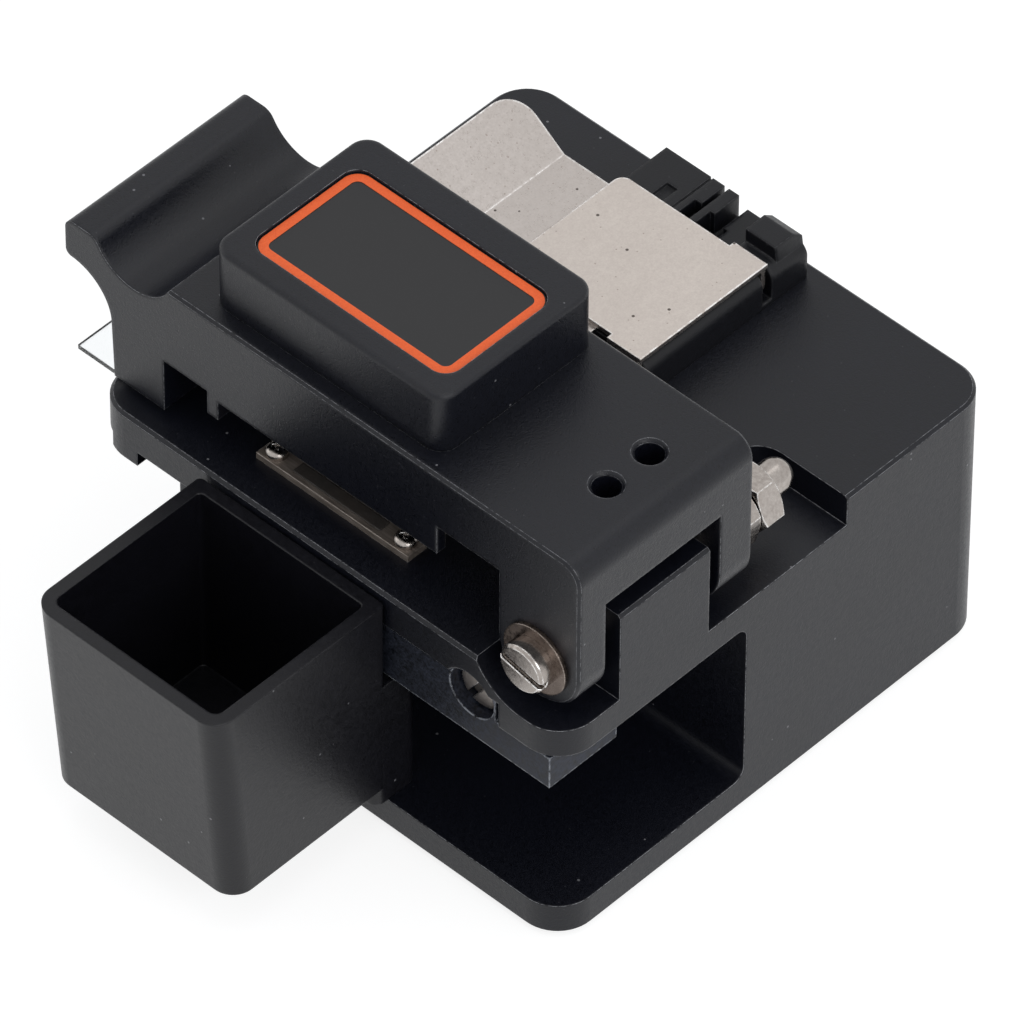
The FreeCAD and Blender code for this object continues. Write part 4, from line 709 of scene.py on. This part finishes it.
def pivotNuts():
    # thick and thin nut locked together on the pin, corners turned back on both faces
    size = {
        "flats": 7.0 * mm, "crownShare": 0.6, "overReach": 1.01, "segments": 48, "gap": 0.25 * mm,
        "nuts": ((3.4 * mm, 0.35), (3.0 * mm, -0.14)),  # thickness and turn
    }
    middle = centre("pivot_nuts")
    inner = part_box("pivot_nuts")[1][0]
    flat = size["flats"] / 2
    reach = size["flats"] / math.sqrt(3)  # out to a hexagon's corners
    crown = (reach - flat) * size["crownShare"]
    beyond = reach * size["overReach"]
    joined = bmesh.new()
    for thickness, turn in size["nuts"]:
        profile = [(flat, 0.0), (beyond, crown), (beyond, thickness - crown), (flat, thickness)]
        nut = revolved("nutTemplate", profile, size["segments"], "brightNickel")
        hexagon = []
        for i in range(6):
            angle = math.pi / 3 * i + turn
            hexagon.append((reach * math.cos(angle), reach * math.sin(angle)))
        carve(nut, prism("nutPrism", hexagon, -mm, thickness + mm, "brightNickel"), "INTERSECT")
        # from upright onto the pin, which runs along x
        along = Matrix(((0, 0, -1, inner), (1, 0, 0, middle.y), (0, 1, 0, middle.z), (0, 0, 0, 1)))
        nut.data.transform(along)
        joined.from_mesh(nut.data)
        bpy.data.objects.remove(nut)
        inner -= thickness + size["gap"]
    nuts = meshPiece("pivot_lock_nuts", [], [], "brightNickel")
    joined.to_mesh(nuts.data)
    joined.free()
    tidyNormals(nuts)
    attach(nuts, "lever")
    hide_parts("pivot_nuts")


def pressSprings():
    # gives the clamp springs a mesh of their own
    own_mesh(nodes["clamp_springs"])


printedRing()
plateScrews()
pivotNuts()
pressSprings()
print("pieces made")


def grey(level):
    return (level, level, level, 1.0)


def lightPathShare(tree):
    # 1 for what the camera sees, also in metal and through clear plastic
    path = tree.nodes.new("ShaderNodeLightPath")
    both = mathNode(tree, "MAXIMUM", path.outputs["Is Camera Ray"], path.outputs["Is Glossy Ray"])
    return mathNode(tree, "MAXIMUM", both, path.outputs["Is Transmission Ray"])


def mixShaders(tree, out, plain, seen):
    mix = tree.nodes.new("ShaderNodeMixShader")
    tree.links.new(lightPathShare(tree), mix.inputs[0])
    tree.links.new(plain.outputs[0], mix.inputs[1])
    tree.links.new(seen.outputs[0], mix.inputs[2])
    tree.links.new(mix.outputs[0], out.inputs["Surface"])


def makeFloor():
    # pale to the camera, greyer in the light that it throws back at the object
    size = {"half": 3.0, "below": -0.1 * mm, "glow": 0.80, "shade": 0.34, "bounce": 0.55}
    mat = bpy.data.materials.new("paleFloor")
    tree = emptyTree(mat)
    out = tree.nodes.new("ShaderNodeOutputMaterial")
    plain = tree.nodes.new("ShaderNodeBsdfDiffuse")
    plain.inputs["Color"].default_value = grey(size["bounce"])
    shade = tree.nodes.new("ShaderNodeBsdfDiffuse")
    shade.inputs["Color"].default_value = grey(size["shade"])
    glow = tree.nodes.new("ShaderNodeEmission")
    glow.inputs["Color"].default_value = grey(1.0)
    glow.inputs["Strength"].default_value = size["glow"]
    seen = tree.nodes.new("ShaderNodeAddShader")
    tree.links.new(shade.outputs[0], seen.inputs[0])
    tree.links.new(glow.outputs[0], seen.inputs[1])
    mixShaders(tree, out, plain, seen)
    surfaces["paleFloor"] = mat
    h = size["half"]
    z = size["below"]
    corners = [(-h, -h, z), (h, -h, z), (h, h, z), (-h, h, z)]
    floor = meshPiece("studio_floor", corners, [(0, 1, 2, 3)], "paleFloor")
    floor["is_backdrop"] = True


def makeWorld():
    size = {"tint": (0.96, 0.98, 1.0, 1.0), "soft": 0.62, "seen": 0.95}
    world = bpy.data.worlds.new("studio")
    bpy.context.scene.world = world
    tree = emptyTree(world)
    out = tree.nodes.new("ShaderNodeOutputWorld")
    soft = tree.nodes.new("ShaderNodeBackground")
    soft.inputs["Color"].default_value = size["tint"]
    soft.inputs["Strength"].default_value = size["soft"]
    seen = tree.nodes.new("ShaderNodeBackground")
    seen.inputs["Color"].default_value = grey(1.0)
    seen.inputs["Strength"].default_value = size["seen"]
    mixShaders(tree, out, soft, seen)


def areaLamp(name, lamp):
    light = bpy.data.lights.new(name, "AREA")
    light.shape = "RECTANGLE"
    light.size = lamp["width"]
    light.size_y = lamp["height"]
    light.energy = lamp["power"]
    holder = linked(name, light)
    holder.location = lamp["place"]
    ray = Vector(lamp["aim"]) - Vector(lamp["place"])
    holder.rotation_euler = ray.to_track_quat("-Z", "Y").to_euler()


def makeCamera():
    size = {"lens": 462.3, "sensor": 36.0, "nearest": 0.01, "place": (0.67742, 0.63379, 0.97607),
            "right": (-0.68845, 0.72527, 0.00379), "back": (0.50585, 0.47641, 0.71913)}
    camera = bpy.data.cameras.new("camera")
    camera.lens = size["lens"]
    camera.sensor_width = size["sensor"]
    camera.clip_start = size["nearest"]
    holder = linked("camera", camera)
    right = Vector(size["right"]).normalized()
    back = Vector(size["back"]).normalized()
    up = back.cross(right).normalized()
    right = up.cross(back)
    turn = Matrix((right, up, back)).transposed().to_4x4()
    holder.matrix_world = Matrix.Translation(Vector(size["place"])) @ turn
    bpy.context.scene.camera = holder


lamps = {
    "rearKey": {
        "place": (0.25, 1.1, 0.75), "aim": (0, 0, 0.03), "width": 1.0, "height": 0.7, "power": 6.0,
    },
    "topSoft": {
        "place": (-0.2, 0.1, 1.4), "aim": (0, 0, 0.03), "width": 1.1, "height": 1.1, "power": 3.0,
    },
    "frontFill": {
        "place": (0.4, -1.1, 0.7), "aim": (0, 0, 0.03), "width": 0.9, "height": 0.7, "power": 1.5,
    },
}
makeFloor()
makeWorld()
for name, lamp in lamps.items():
    areaLamp(name, lamp)
makeCamera()
bpy.context.scene.view_settings.view_transform = "Standard"
print("studio ready")


def plainList(value):
    return [plainList(v) for v in value] if hasattr(value, "__len__") else round(float(value), 6)


{"cad": plainList(cadBox), "visual": plainList(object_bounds())}
